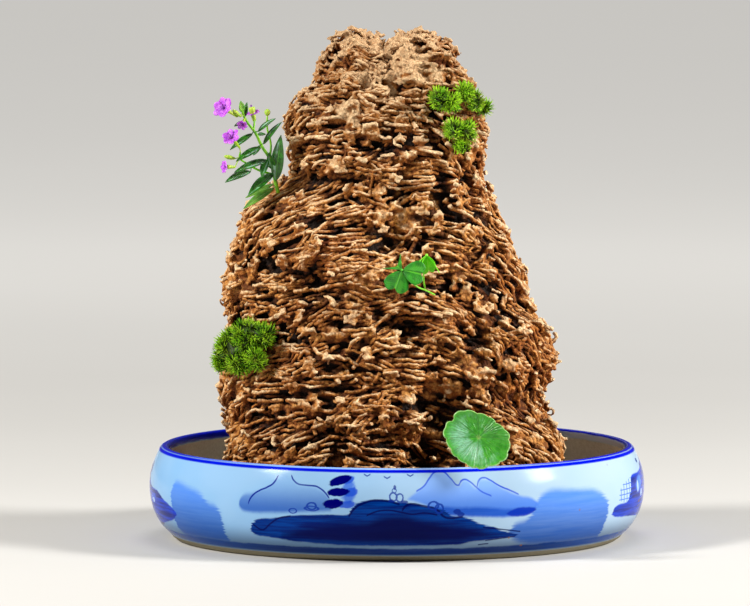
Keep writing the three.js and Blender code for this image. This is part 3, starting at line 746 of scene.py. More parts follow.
STUBS = [  # points of a broken end along +X, then its radius at each
    ([(-2.4, 0, 0), (-0.6, 0.2, 0.1), (1.0, 0, 0.2), (2.6, -0.3, 0)], [0.65, 0.7, 0.66, 0.72]),
    ([(-2.2, 0, 0), (-0.6, 0.5, 0.1), (0.9, 0.6, 0.4), (2.0, 0.1, 0.9)], [0.6, 0.64, 0.6, 0.68]),
    ([(-2, 0, 0), (0, 0.1, 0), (1.5, 0, 0.1), (2.1, 0, 0.1)], [0.7, 0.75, 0.84, 0.95]),
    ([(-1.8, 0, 0), (-0.5, 1.0, 0), (1.0, 1.2, 0.2), (2.1, 0.2, 0.3), (2.0, -1.0, 0.1)],
     [0.55, 0.62, 0.58, 0.54, 0.5]),
    ([(-1.6, 0, 0), (0, 0.3, 0.15), (1.4, -0.2, 0.4), (2.3, -0.2, 0.1)], [0.6, 0.7, 0.6, 0.45]),
]
STUB_SHARES = (3, 2.4, 2.2, 1.0, 1.4)  # how often each kind of end is picked
GRAIN = 0.5  # side of the cubes out of which the crust is fused, in millimetres
CRUST = [("CLOUDS", 1.6, 0.4), ("VORONOI", 2.1, 0.8), ("CLOUDS", 0.8, 0.28)]  # its bumps: kind, size, depth
KEPT_FACES = 0.2  # share of the faces of the fused crust that is kept
CORE_INSET = 5.0  # how far the core lies under the skin
BANDS = ["foot", "skirt", "waist", "shoulder", "crown"]
STONE_TOP, BANDS_TO_TOP = 203, 5.2  # the crown takes the rest as well
LOWEST, HIGHEST = 6.6, 200.9  # heights between which the middles of reeds stay
CALM_FROM, CALM_OVER = 150, 30  # height where the reeds start to lie flatter, and over how much more they do
CALM = 0.75  # how much flatter they lie on the crown
CROWN_FOOT = 188  # height above which bundles are left out, and the dip between the peaks is cut
STRATA = [(17.5, 2.1, 0), (6.3, 1.5, 31)]  # height of the shelves, reach of their lips, place of their noise
PITS = [(2.3, 7.5, 0), (1.1, 3.2, 4)]  # depth and size of the pits, and the place of their noise
SINK = -1.2  # where the surface would lie without shelves and pits
DEEPEST, PROUDEST = -7.0, 1.7  # how far it may lie under and over the skin
FRONT_SIDE = -5  # the dark hollows are in front of this
FRONT_HOLLOWS = [  # dark hollows of the front: across, height, half width, half height and depth
    (-11, 187, 3.5, 7, 4), (-30, 172, 5, 2.5, 4), (-7.5, 155, 4, 3, 6), (-33, 144, 6, 3, 4),
    (-24, 137, 7, 2.5, 4), (17, 169, 3, 4, 5), (7, 119, 13, 4, 5), (-34, 99, 6, 2.5, 4),
    (-52, 96, 3, 3, 4), (-24, 88, 4, 3, 5), (-7.5, 92, 4, 4, 5), (6.5, 85, 5.5, 5.5, 7),
    (34, 83, 5, 3, 4), (48, 76, 4, 3, 4), (-46, 72, 5, 7, 3), (-33, 46, 22, 2.5, 4), (13, 39, 6, 8, 8),
    (21, 51, 6, 4, 6), (30, 108, 3, 8, 3), (40, 60, 5, 3, 4), (3, 190, 4.5, 2.5, 5),
    (-15, 181, 3.5, 3, 5), (3.6, 179.6, 4, 2.5, 4.5), (2.5, 172.5, 5, 2.5, 4.5), (-8, 173.6, 3.5, 2.5, 4),
    (11, 186, 2.5, 3, 3.5), (-20, 189, 3, 2, 3),
]
LUMPS = [(-32.5, 188, 5, 4.5, 2.4), (37, 157, 6, 9, 1.8)]  # bulges: across, height, half sizes and reach
CROWN_DIP = (-4, 2.6, 4)  # between the peaks of the top: across, depth and half width


def rise_of(degrees):
    """How steeply the reeds climb to the right, seen from outside, at a place round the stone."""
    for (d0, r0), (d1, r1) in zip(LIE, LIE[1:]):
        if degrees <= d1:
            return r0 + (r1 - r0) * (degrees - d0) / (d1 - d0)
    return LIE[-1][1]


def dips():
    """How far the strata have climbed at each degree round the stone, in millimetres."""
    rises = [math.radians(max(-STEEPEST, min(STEEPEST, rise_of(d)))) for d in range(-180, 180)]
    climb = np.cumsum([math.tan(rise) * STRATA_RADIUS * math.radians(1) for rise in rises])
    return climb - np.linspace(0, climb[-1], 360)


DIPS = dips()


def crownward(height):
    """0 on the flanks and 1 on the crown."""
    return min(1, max(0, (height - CALM_FROM) / CALM_OVER))


def lie_of(azimuth, level):
    """The rise of the reeds at a place, in degrees, with broad swirls."""
    rise = rise_of((math.degrees(azimuth) + 180) % 360 - 180)
    at = Vector((math.cos(azimuth) * 2.2, math.sin(azimuth) * 2.2, level / 26))
    swirl = noise.noise(at + Vector((5, 9, 2)))
    top = crownward(level)
    return rise * (1 - CALM * top) + swirl * SWIRL - 8 * top


def strata(spot):
    """How far the surface stands out at a place: shelves that dip with the reeds, pits and hollows."""
    degrees = math.degrees(math.atan2(spot.y - AXIS[1], spot.x - AXIS[0])) + 180
    height = spot.z - DIPS[int(degrees) % 360] * (1 - CALM * crownward(spot.z))
    out = SINK
    for pitch, lip, seed in STRATA:
        shift = Vector((seed, 7, 3))
        turn = height / pitch + 1.5 * noise.noise(spot / (pitch * 1.7) + shift)
        strength = 0.62 + 1.5 * noise.noise(spot / (pitch * 1.4) - shift)
        out += lip * max(0, min(1, strength)) * (1 - 2 * (turn % 1.0) ** 0.8)
    out += sum(deep * noise.noise(spot / size + Vector((seed, 0, 0))) for deep, size, seed in PITS)
    if spot.z > CROWN_FOOT:
        middle, depth, wide = CROWN_DIP
        out -= depth * math.exp(-((spot.x - middle) / wide) ** 2)
    if spot.y < FRONT_SIDE:
        for across, level, wide, high, depth in FRONT_HOLLOWS:
            far = ((spot.x - across) / wide) ** 2 + ((spot.z - level) / high) ** 2
            if far < 6:
                out -= depth * math.exp(-far)
    out = max(DEEPEST, min(PROUDEST, out))
    for across, level, wide, high, reach in LUMPS:
        out += reach * math.exp(-((spot.x - across) / wide) ** 2 - ((spot.z - level) / high) ** 2)
    return out


def within(spot):
    """A point held between the lowest and the highest place of a reed."""
    spot.z = min(max(spot.z, LOWEST), HIGHEST)
    return spot


def somewhere():
    """An azimuth and a level, as likely in one patch of the skin as in another."""
    while True:
        azimuth = DICE.uniform(-math.pi, math.pi)
        level = DICE.uniform(LEVEL_LOW + 1.6, HINGE + FAN - 3)
        spot = SKIN.spot(azimuth, level)
        if DICE.random() < math.hypot(spot.x - AXIS[0], spot.y - AXIS[1]) / WIDEST:
            return azimuth, level


def stepped(azimuth, level, heading, step):
    """A step along the skin. On the crown it keeps to one height instead of one level."""
    here = SKIN.spot(azimuth, level)
    flat = max(12.0, (here - Vector((*AXIS, level))).to_2d().length)
    ahead = azimuth + step * math.cos(heading) / flat
    if level > HINGE:
        drift = SKIN.spot(ahead, level)
        slope = SKIN.spot(ahead, level + 1).z - drift.z
        level -= max(-1.4, min(1.4, (drift.z - here.z) / max(0.2, slope)))
    return ahead, min(level + step * math.sin(heading), HINGE + FAN - 2)


def reed(azimuth, level, heading, curl, length, depth, follow, pitch, lifted):
    """One reed along the skin: its points, and its radius at each."""
    half = max(1, round(length / pitch / 2))
    sides = []
    for sense in (-1, 1):
        a, h, turn, way = azimuth, level, heading, []
        for _ in range(half):
            a, h = stepped(a, h, turn, sense * pitch)
            turn += curl + DICE.gauss(0, 0.05)
            way.append((a, h))
        sides.append(way)
    track = sides[0][::-1] + [(azimuth, level)] + sides[1]
    wave = DICE.uniform(0, 6)
    radius = DICE.uniform(*REED_RADII)
    points, girth = [], []
    last = len(track) - 1
    for n, (a, h) in enumerate(track):
        out = depth + follow * strata(SKIN.spot(a, h)) + REED_WAVE * math.sin(wave + n * 1.1)
        wide = radius * DICE.uniform(0.84, 1.16)
        from_end = min(n, last - n)
        clear = lifted[0] if n < last - n else lifted[1]
        if clear and from_end <= 1:
            out += END_LIFT[from_end]
            wide = radius * 1.2
        elif from_end == 0:
            out -= END_SINK
            wide = radius * 0.75
        spot = SKIN.spot(a, h, out)
        spot.z += 0.2 * DICE.gauss(0, 1)
        points.append(within(spot))
        girth.append(wide)
    return points, girth


def reeds():
    """Every reed, sorted into bands by height: those inside the crust, and those laid over it."""
    strands, inner = [], 0
    count, depths, lengths = DEEP_REEDS
    for _ in range(count):
        azimuth, level = somewhere()
        heading = math.radians(lie_of(azimuth, level) + DICE.gauss(0, 10))
        length, depth = DICE.uniform(*lengths), DICE.uniform(*depths)
        strands.append(reed(azimuth, level, heading, 0, length, depth, 0.6, REED_PITCH * 1.5, (False, False)))
    for count, members, depths, lengths, lifting in BUNDLES:
        inner = len(strands)
        for _ in range(count):
            azimuth, level = somewhere()
            if strata(SKIN.spot(azimuth, level)) > DICE.uniform(-4, 3):
                azimuth, level = somewhere()
            if level > CROWN_FOOT and DICE.random() < BARE_CROWN:
                continue
            heading = math.radians(lie_of(azimuth, level) + DICE.gauss(0, 13))
            crossing = DICE.random() < CROSSINGS
            heading += crossing * DICE.choice((-1, 1)) * DICE.uniform(0.4, 1.2)
            curl = DICE.gauss(0, 0.05)
            length = DICE.uniform(*lengths) * (0.6 if crossing else 0.75 if level > 160 else 1)
            for member in range(DICE.randint(*members)):
                aside = member * REED_GAP * DICE.uniform(0.85, 1.2)
                a, h = stepped(azimuth, level, heading + math.pi / 2, aside)
                a, h = stepped(a, h, heading, DICE.gauss(0, 0.16) * length)
                lifted = (DICE.random() < lifting * 0.5, DICE.random() < lifting * 0.5)
                strands.append(reed(
                    a, h, heading + DICE.gauss(0, 0.05), curl, length * DICE.uniform(0.7, 1.15),
                    DICE.uniform(*depths), 0.9, REED_PITCH, lifted))
    bands = {name: ([], []) for name in BANDS}
    for n, (points, girth) in enumerate(strands):
        bands[band_of(points[len(points) // 2])][n >= inner].append((points, girth))
    return bands


def band_of(spot):
    return BANDS[min(len(BANDS) - 1, int(spot.z / STONE_TOP * BANDS_TO_TOP))]


def fused(meshes):
    """One closed crusted solid in place of many that overlap."""
    solid = linked("fused", merged(meshes))
    fuse = solid.modifiers.new("fuse", "REMESH")
    fuse.mode = "VOXEL"
    fuse.voxel_size = GRAIN * MM
    for kind, size, depth in CRUST:
        crust = solid.modifiers.new("crust", "DISPLACE")
        crust.texture = bpy.data.textures.new("crust", kind)
        crust.texture.noise_scale = size * MM
        crust.texture_coords = "LOCAL"
        crust.strength = depth * MM
    dense = evaluated(solid)
    solid.modifiers.clear()
    solid.data = dense
    thin = solid.modifiers.new("thin", "DECIMATE")
    thin.ratio = KEPT_FACES
    mesh = evaluated(solid)
    bpy.data.objects.remove(solid)
    return mesh


def tube_mesh(strands):
    """Six-sided tubes through points in millimetres, with a radius at each point."""
    curve = round_curve("reeds", 1)
    for points, girth in strands:
        strand = curve.splines.new("POLY")
        strand.points.add(len(points) - 1)
        strand.points.foreach_set("co", [c for p in points for c in (*(p * MM), 1)])
        strand.points.foreach_set("radius", girth)
    return mesh_of_curve(curve)


def crumb():
    """An uneven grain of lime."""
    bm = bmesh.new()
    bmesh.ops.create_icosphere(bm, subdivisions=1, radius=MM)
    for vert in bm.verts:
        vert.co *= DICE.uniform(0.72, 1.2)
    return mesh_of(bm)


def anyway():
    """A direction, any one as likely as another."""
    return Vector([DICE.gauss(0, 1) for _ in range(3)]).normalized()


def knots():
    """Clusters of broken ends with crumbs of lime, thickest on the lips of the shelves and on the crown."""
    stubs = [tube_mesh([([Vector(p) for p in points], girth)]) for points, girth in STUBS]
    grit = crumb()
    pieces = {name: [[] for _ in range(len(stubs) + 1)] for name in BANDS}
    made = 0
    while made < KNOTS:
        azimuth, level = somewhere()
        spot = SKIN.spot(azimuth, level)
        out = strata(spot)
        if DICE.random() > 0.06 + max(0, out + 1.4) / 2.2 + (0.15 if level < 185 else 0.5):
            continue
        made += 1
        away = ray_from(azimuth, level)[1]
        middle = SKIN.spot(azimuth, level, out * 0.95 - 1.2)
        further = stepped(azimuth, level, math.radians(lie_of(azimuth, level)), 2.0)
        ahead = (SKIN.spot(*further) - spot).normalized()
        lean = math.radians(DICE.uniform(0, 42 if level < HINGE else 14))
        heading = ahead * (math.cos(lean) * DICE.choice((-1, 1, 1))) + away * math.sin(lean)
        across = heading.cross(away + anyway() * 0.7).normalized()
        lists = pieces[band_of(middle)]
        members = DICE.randint(2, 5)
        for member in range(members):
            kind = DICE.choices(range(len(stubs)), STUB_SHARES)[0]
            shift = across * (member - (members - 1) / 2) * DICE.uniform(1.2, 1.7)
            shift += heading * DICE.gauss(0, 0.8)
            centre = within(middle + shift + away * DICE.gauss(0, 0.35))
            scale = DICE.uniform(0.85, 1.2) * (1 if level < HINGE else 0.82)
            lists[kind].append(aimed(centre * MM, heading + anyway() * 0.3, anyway(), (scale,) * 3))
        for _ in range(DICE.randint(7, 13)):
            aside = anyway() * DICE.uniform(0.6, 2.9)
            centre = middle + aside - away * (aside.dot(away) * 0.5 + (0.2 if level < 180 else -0.9))
            scale = [DICE.uniform(0.45, 0.95) for _ in range(3)]
            lists[-1].append(aimed(within(centre) * MM, anyway(), scale=scale))
    shapes = (*stubs, grit)
    return {
        name: merged([joined(shape, at) for shape, at in zip(shapes, lists) if at])
        for name, lists in pieces.items()}


def corners_of(mesh):
    """Where the vertices are, and the middles of the faces, in millimetres."""
    corners = np.empty(len(mesh.vertices) * 3)
    mesh.vertices.foreach_get("co", corners)
    middles = np.empty(len(mesh.polygons) * 3)
    mesh.polygons.foreach_get("center", middles)
    return corners.reshape(-1, 3) / MM, middles.reshape(-1, 3) / MM


class Cover:
    """How far out the reeds and knots reach on a net of rays, with its average near by and further off."""

    COLUMNS = 380
    ROWS = int(HINGE + FAN - LEVEL_LOW) + 1
    NEAR, FAR = 1.5, 6.5  # millimetres to each side over which it is averaged

    def __init__(self, meshes):
        net = np.zeros((self.ROWS, self.COLUMNS))
        for mesh in meshes:
            for corners in corners_of(mesh):
                row, column, reach = self.cell(corners)
                np.maximum.at(net, (row, column), reach)
        net = np.where(net == 0, self.spread(net, self.NEAR), net)
        self.near = self.spread(net, self.NEAR)
        self.far = self.spread(net, self.FAR)

    def cell(self, corners):
        """Row, column and reach of points along their rays."""
        x, y = corners[:, 0] - AXIS[0], corners[:, 1] - AXIS[1]
        up = np.maximum(0, corners[:, 2] - HINGE)
        flat = np.hypot(x, y)
        level = np.minimum(corners[:, 2], HINGE) + np.arctan2(up, flat) / (math.pi / 2) * FAN
        row = np.clip(level - LEVEL_LOW, 0, self.ROWS - 1).astype(int)
        column = np.floor(np.arctan2(y, x) / (2 * math.pi) * self.COLUMNS).astype(int) % self.COLUMNS
        return row, column, np.hypot(flat, up)

    def spread(self, net, width):
        """The net averaged over so many millimetres to each side and up and down, twice.

        The rows of the net that is handed in are evened out too."""
        for _ in range(2):
            for row in range(self.ROWS):
                rise = max(0, row + LEVEL_LOW - HINGE) / FAN * math.pi / 2
                girth = max(4.0, 2 * math.pi * net[row].mean() * math.cos(rise))
                half = min(self.COLUMNS // 4, max(1, round(width / girth * self.COLUMNS)))
                padded = np.pad(net[row], half, mode="wrap")
                net[row] = np.convolve(padded, np.ones(2 * half + 1) / (2 * half + 1), "valid")
            half = round(width)
            padded = np.pad(net, ((half, half), (0, 0)), mode="edge")
            net = sum(padded[n:n + self.ROWS] for n in range(2 * half + 1)) / (2 * half + 1)
        return net

    def store_shade_depths(self, mesh):
        """Stores how far each vertex lies inside what is round it, near by and further off, and a tone; the
        first two set the painted shade.
        """
        corners, _ = corners_of(mesh)
        row, column, reach = self.cell(corners)
        paint(mesh, "gap", self.near[row, column] - reach)
        paint(mesh, "hollow", self.far[row, column] - reach)
        paint(mesh, "tone", [0.5 + 0.5 * noise.noise(Vector(corner) / 5.0) for corner in corners])


def tufa_finish():
    finish = Finish("shade_painted reed tufa", specular_ior_level=0.25)
    tone = finish.attribute("tone")
    gap = finish.attribute("gap")
    hollow = finish.attribute("hollow")
    upward = finish.upward()
    _, _, height = finish.axes()
    broad = finish.noise(38, 3)
    patch = finish.noise(6, 4, 0.65)
    grain = finish.noise(1.3, 3, 0.6)
    crumbs = finish.cells(1.5)
    # Painted highlight on faces that look up and on ends that stand clear, with less of it on the crown.
    pale = (upward * 0.7 - gap * 0.4).rise(0.1, 1.1) * height.rise(192, 150, 1.0, 0.62)
    # Dark spots for small pits: painted shade inside holes that are not modelled.
    pits = finish.cells(2.4).rise(0.2, 0.1) * patch.rise(0.45, 0.55)
    colour = finish.layered(
        finish.mix(broad.rise(0.35, 0.65), (186, 113, 42), (211, 141, 63)),
        (tone.rise(0.35, 0.75) * 0.6, (232, 168, 94)),
        (patch.rise(0.5, 0.66) * 0.6, (164, 90, 30)),
        # painted shade on faces that look down
        (upward.rise(0.2, -0.7) * 0.7, (132, 64, 14)),
        # painted shade in the crevices between the crumbs, at the edges of the cells
        (crumbs.rise(0.4, 0.7) * 0.6, (124, 62, 16)),
        (grain.rise(0.45, 0.34) * 0.5, (92, 40, 8)),
        # painted shade: browner and darker towards the crown, which the lamps light more strongly
        (height.rise(125, 185) * 0.62, (142, 88, 38)),
        # the painted highlight, brightest in the middles of the crumbs
        (pale * 0.85 * crumbs.rise(0.75, 0.3, 1.0, 0.55), (255, 226, 180)),
        # painted shade in the pits
        (pits * 0.8, (48, 18, 4)),
        # Painted shade: darker in the gaps between the reeds, and darkest deep in the hollows.
        (gap.rise(-0.1, 1.5) * 0.8, (84, 30, 3)),
        ((gap * 0.8 + hollow * 0.4).rise(0.8, 3.8) * 0.97, (16, 6, 2)))
    return finish.dress(colour, 0.7 + grain * 0.2, grain * 0.8 - crumbs * 0.7, 1.2)


def core_between(low, high):
    """The stone's inside between two levels, tapered where it enters its neighbours."""
    bm = bmesh.new()
    bmesh.ops.create_uvsphere(bm, u_segments=120, v_segments=48, radius=1)
    for vert in bm.verts:
        azimuth = math.atan2(vert.co.y, vert.co.x)
        up = 1 - math.acos(max(-1, min(1, vert.co.z))) / math.pi
        share = min(1.0, up / 0.06, (1 - up) / 0.06 if high < HINGE + FAN else 1.0)
        level = low + (high - low) * min(1, max(0, (up - 0.06) / (0.88 if high < HINGE + FAN else 0.94)))
        spot = SKIN.spot(azimuth, level)
        spot = SKIN.spot(azimuth, level, -CORE_INSET + 0.7 * strata(spot) - (1.5 if share < 1.0 else 0.0))
        axis = ray_from(azimuth, level)[0]
        vert.co = (axis + (spot - axis) * math.sin(share * math.pi / 2)) * MM
    return mesh_of(bm)


def stone():
    """Reeds, knots and what lies under them, fused into one crust in each of five bands."""
    finish = tufa_finish()
    lumps = knots()
    strands = reeds()
    joins = [n * STONE_TOP / BANDS_TO_TOP for n in range(1, len(BANDS))]
    edges = [LEVEL_LOW + 0.4, *joins, HINGE + FAN]
    crusts = {}
    for name, low, high in zip(BANDS, edges, edges[1:]):
        core = core_between(low if name == "foot" else low - 2, high if name == "crown" else high + 2)
        inside, outside = strands[name]
        crusts[f"stone_crust_{name}"] = fused([core, lumps[name], tube_mesh(inside)])
        crusts[f"stone_reeds_{name}"] = tube_mesh(outside)
    cover = Cover(crusts.values())
    for name, mesh in crusts.items():
        cover.store_shade_depths(mesh)
        piece(name, mesh, finish, "tufa", "stone")


# Moss: star-shaped shoots rooted under the skin of each cushion, so that their tips reach it

MOSS_SHOOTS = {"moss_cushion_left": 330, "moss_tuft_upper": 180, "moss_tuft_lower": 100}
NEEDLE = (3.7, 0.34)  # length and radius of a moss leaf
NEEDLES_PER_SHOOT = 10


def moss_finish():
    finish = Finish("cushion moss", roughness=0.6, specular_ior_level=0.3)
    tip = finish.attribute("tip")
    tone = finish.attribute("tone")
    # Darker towards the roots: older stems, and painted shade deep in the cushion.
    root = finish.mix(tone, (26, 40, 3), (56, 76, 8))
    fresh = finish.mix(tone.rise(0.15, 0.85), (104, 172, 4), (190, 240, 40))
    old = finish.mix(finish.noise(5, 2).rise(0.52, 0.66) * 0.7, fresh, (130, 128, 24))
    colour = finish.mix(tip.rise(0.15, 0.8), root, old)
    return finish.dress(colour, 0.6, finish.noise(0.5, 2), 0.1)


def moss_shoot():
    """One shoot along +X with its leaves spread round it."""
    length, radius = NEEDLE
    bm = bmesh.new()
    tip = bm.verts.layers.float.new("tip")
    golden = math.pi * (3 - math.sqrt(5))
    for n in range(NEEDLES_PER_SHOOT):
        share = n / (NEEDLES_PER_SHOOT - 1)
        lean = math.radians(12 + 58 * share)
        turn = n * golden
        way = Vector((math.cos(lean), math.sin(lean) * math.cos(turn), math.sin(lean) * math.sin(turn)))
        start = Vector((1.3 * (1 - share), 0, 0))
        reach = length * (0.8 + 0.2 * math.sin(n * 2.3))
        upright = way.to_track_quat("Z", "Y").to_matrix().to_4x4()
        grown = bmesh.ops.create_cone(
            bm, cap_ends=True, segments=3, radius1=radius, radius2=radius * 0.15, depth=reach,
            matrix=Matrix.Translation(start + way * reach / 2) @ upright)
        for vert in grown["verts"]:
            along = (vert.co - start).dot(way) / reach
            vert[tip] = along
            vert.co += Vector((0.5, 0, 0)) * max(0.0, along - 0.5)
    bm.transform(Matrix.Scale(MM, 4))
    return mesh_of(bm)


def moss():
    finish = moss_finish()
    shoot = moss_shoot()
    for node, count in MOSS_SHOOTS.items():
        source = bmesh.new()
        source.from_mesh(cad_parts[node].data)
        bmesh.ops.remove_doubles(source, verts=source.verts, dist=1e-6)
        bmesh.ops.recalc_face_normals(source, faces=source.faces)
        bmesh.ops.triangulate(source, faces=source.faces)
        source.faces.ensure_lookup_table()
        areas = [face.calc_area() for face in source.faces]
        shoots, tones = [], []
        for face in DICE.choices(source.faces, areas, k=count):
            u, v = sorted((DICE.random(), DICE.random()))
            a, b, c = (vert.co for vert in face.verts)
            spot = a * u + b * (v - u) + c * (1 - v)
            stray = Vector([DICE.gauss(0, 0.28) for _ in range(3)])
            away = (face.normal + stray + Vector((0, 0, 0.3))).normalized()
            size = DICE.uniform(0.75, 1.05)
            roll = Vector([DICE.gauss(0, 1) for _ in range(3)])
            shoots.append(aimed(spot - away * NEEDLE[0] * size * MM, away, roll, (size,) * 3))
            tones.append(DICE.random())
        piece(f"{node}_shoots", joined(shoot, shoots, tone=tones), finish, "moss", node, smooth=False)
        bmesh.ops.smooth_vert(
            source, verts=source.verts, factor=0.5, use_axis_x=True, use_axis_y=True, use_axis_z=True)
        for vert in source.verts:
            vert.co -= vert.normal * 2.2 * MM
        bed = mesh_of(source)
        # The bed takes the dark root colour: older stems, and painted shade inside the cushion.
        paint(bed, "tip", [0.0] * len(bed.vertices))
        paint(bed, "tone", [0.4] * len(bed.vertices))
        piece(f"{node}_bed", bed, finish, "moss", node)


# Leaves and stems

def blade(length, half_width, droop, fold, wall, rows=14, columns=6, end=None, ripple=0.0):
    """A leaf along +X from its foot at the origin. half_width is a function of the share along it."""
    bm = bmesh.new()
    along = bm.verts.layers.float.new("along")
    across = bm.verts.layers.float.new("across")
    bmesh.ops.create_grid(bm, x_segments=rows, y_segments=columns, size=0.5)
    for vert in bm.verts:
        t, s = vert.co.x + 0.5, vert.co.y * 2
        vert[along], vert[across] = t, s
        reach = t * (end(s) if end else 1.0)
        side = s * half_width(t)
        lift = abs(side) * fold - droop * reach * reach
        lift += ripple * math.sin(reach * 17 + s * 2) * s * s
        vert.co = Vector((reach * length, side, lift)) * MM
    thickened(bm, wall * MM)
    return mesh_of(bm)


def lance(width):
    return lambda t: width / 2 * max(0.03, math.sin(math.pi * min(1.0, t ** 0.8)) ** 0.85)


def placed(mesh, foot, tip, roll=0.0, up=Vector((0, 0, 1))):
    """Moves a leaf so that it runs from its foot towards a point, rolled by degrees about that line."""
    foot, tip = Vector(foot), Vector(tip)
    way = (tip - foot).normalized()
    turn = Matrix.Rotation(math.radians(roll), 4, way)
    mesh.transform(Matrix.Translation(foot * MM) @ turn @ aimed(Vector(), way, up))
    return mesh


def stem_mesh(points, radius, tip_radius=None, rings=10, sides=3):
    """A tube through points that narrows towards its tip."""
    curve = round_curve("stem", sides)
    curve.resolution_u = rings
    strand = curve.splines.new("BEZIER")
    strand.bezier_points.add(len(points) - 1)
    for n, (knot, point) in enumerate(zip(strand.bezier_points, points)):
        knot.co = Vector(point) * MM
        knot.handle_left_type = knot.handle_right_type = "AUTO"
        knot.radius = radius + ((tip_radius or radius) - radius) * n / (len(points) - 1)
    bm = bmesh.new()
    bm.from_mesh(mesh_of_curve(curve))
    bmesh.ops.remove_doubles(bm, verts=bm.verts, dist=1e-7)
    bmesh.ops.recalc_face_normals(bm, faces=bm.faces)
    return mesh_of(bm)


def stem_finish(name, young, old):
    finish = Finish(
        name, roughness=0.42, specular_ior_level=0.4, subsurface_weight=0.08, subsurface_scale=0.001)
    stripe = finish.noise(1.4, 3, 0.6, (1, 1, 0.25))
    colour = finish.mix(stripe.rise(0.35, 0.7), young, old)
    return finish.dress(colour, 0.4 + stripe * 0.15, stripe, 0.12)


def leaf_finish(name, dark, light, vein, veins=9.0, roughness=0.3, sheen_highlight=None, coat=0.0):
    """A leaf with a pale midrib, side veins that slant forward, and mottled green between them."""
    finish = Finish(
        name, specular_ior_level=0.5, subsurface_weight=0.1, subsurface_scale=0.0015, coat_weight=coat,
        coat_roughness=0.25)
    t = finish.attribute("along")
    s = abs(finish.attribute("across"))
    midrib = s.rise(0.11, 0.03)
    slant = ((t - s * 0.35) * veins).math("FRACT")
    side_veins = abs(slant - 0.5).rise(0.1, 0.02) * s.rise(1.0, 0.5) * 0.5
    mottle = finish.noise(2.4, 3)
    colour = finish.mix(mottle.rise(0.3, 0.7), dark, light)
    if sheen_highlight:
        # Painted highlight: a pale streak along one half of the leaf, beside the midrib.
        side = finish.attribute("across")
        highlight_streak = side.rise(0.12, 0.26) * side.rise(0.66, 0.46) * finish.noise(6, 2).rise(0.44, 0.58)
        colour = finish.mix(highlight_streak * 0.75, colour, sheen_highlight)
    ribs = midrib.most(side_veins)
    colour = finish.mix(ribs * 0.7, colour, vein)
    return finish.dress(colour, roughness + mottle * 0.15, ribs * -0.8 + finish.noise(0.9, 2) * 0.3, 0.25)


# The sprig: points of its stems, then leaves as foot, tip, width, droop and roll

SPRIG_STEMS = {
    "sprig_stem_main": (0.75, 0.4, [
        (-46.5, -15, 137), (-48.2, -16, 144), (-49.7, -17, 150.3), (-52.8, -18, 155.4), (-55.4, -19, 160.8),
        (-58.6, -20, 165.2), (-60.2, -20.5, 168.8), (-60.3, -20.7, 171.6)]),
    "sprig_stem_low": (0.5, 0.35, [
        (-49.2, -16.8, 144.5), (-54, -17.6, 146), (-58.5, -18.6, 148.6), (-61.4, -20.4, 151),
        (-61.2, -22.2, 153.4)]),
    "sprig_stem_back": (0.45, 0.32, [
        (-49.7, -15.6, 150.5), (-49.4, -12.6, 156), (-50.8, -10.9, 162), (-50.8, -10.6, 166.6)]),
    "sprig_stem_side": (0.4, 0.3, [(-56, -18.6, 162), (-55.8, -17, 164.4), (-55.7, -16.2, 166)]),
}
SPRIG_LEAVES = [
    ((-56.5, -20.4, 160.6), (-65.3, -25, 155.3), 2.5, 1, 12),
    ((-53.6, -19.8, 155.3), (-62.8, -25.5, 150.8), 3.0, 1, 8),
    ((-50.6, -18.9, 150.2), (-63.4, -26.5, 147), 3.6, 1.4, 14),
    ((-57.2, -19.8, 145.8), (-67.1, -25, 142.7), 3.7, 1, 18),
    ((-54.4, -20.4, 161.4), (-48.1, -24.6, 167.2), 2.5, 0.8, -18),
    ((-52.3, -19.4, 156.4), (-45.8, -24.8, 165.6), 3.0, 0.8, -22),
    ((-47.4, -18.2, 142), (-45.6, -23.6, 160), 5.0, 0.6, -20),
    ((-50.6, -20, 150.4), (-53.2, -25.5, 144.3), 3.3, 0.8, 22),
    ((-48.5, -17.6, 144.8), (-58.4, -26, 137.4), 4.6, 1, 20),
    ((-48.4, -15, 140.4), (-59.4, -17.4, 135.6), 2.4, 0.6, 10),
    ((-48.2, -16.8, 139), (-60.3, -20.2, 131.8), 3.7, 1, 16),
    ((-48.6, -18, 146.4), (-50, -23.5, 153), 3.2, 0.4, -50),
    ((-59.4, -20.2, 165.4), (-63.7, -20.8, 163.8), 1.7, 0.4, 10),
    ((-54.6, -17.8, 160), (-51.2, -16, 160.4), 1.6, 0.4, -10),
    ((-53, -16.8, 155.6), (-56.6, -14.6, 151.8), 2.2, 0.4, 14),
    ((-60.3, -20.8, 168.8), (-60.9, -21.8, 173.4), 2.6, 0.2, 20),
    ((-59.7, -20.4, 167), (-58.7, -20.2, 172.8), 2.0, 0.2, -16),
]
LEAF_FACES = Vector((0.05, -0.78, 0.62))  # the way the upper sides of the leaves look
SPRIG_FLOWERS = [  # tube: foot, mouth and half width; petals: place along it, reach and turn to the front
    ((-62.3, -21.2, 167.2), (-67.3, -23.4, 170.6), 0.9, 1.0, 4.7, 0.7),
    ((-61.4, -23, 155.2), (-64.3, -27.4, 159.2), 0.9, 1.0, 3.8, 0.2),
    ((-59.6, -21.9, 166.2), (-60.2, -24.8, 164.6), 0.9, 1.0, 2.1, 0),
    ((-55.7, -16, 165), (-56.9, -15.8, 170.6), 1.35, 0.45, 2.9, 0.3),
    ((-63.2, -22.6, 147.6), (-66.6, -24.4, 147.8), 0.9, 1.0, 2.6, 0),
]
SPRIG_BUDS = [  # foot, tip and half width
    ((-60.9, -21.2, 167.2), (-64.2, -22.4, 170), 0.85),
    ((-50.8, -10.6, 166.8), (-50.7, -10.4, 169.6), 1.25),
    ((-63.2, -21, 150.8), (-67.6, -21.4, 151.8), 0.9),
]
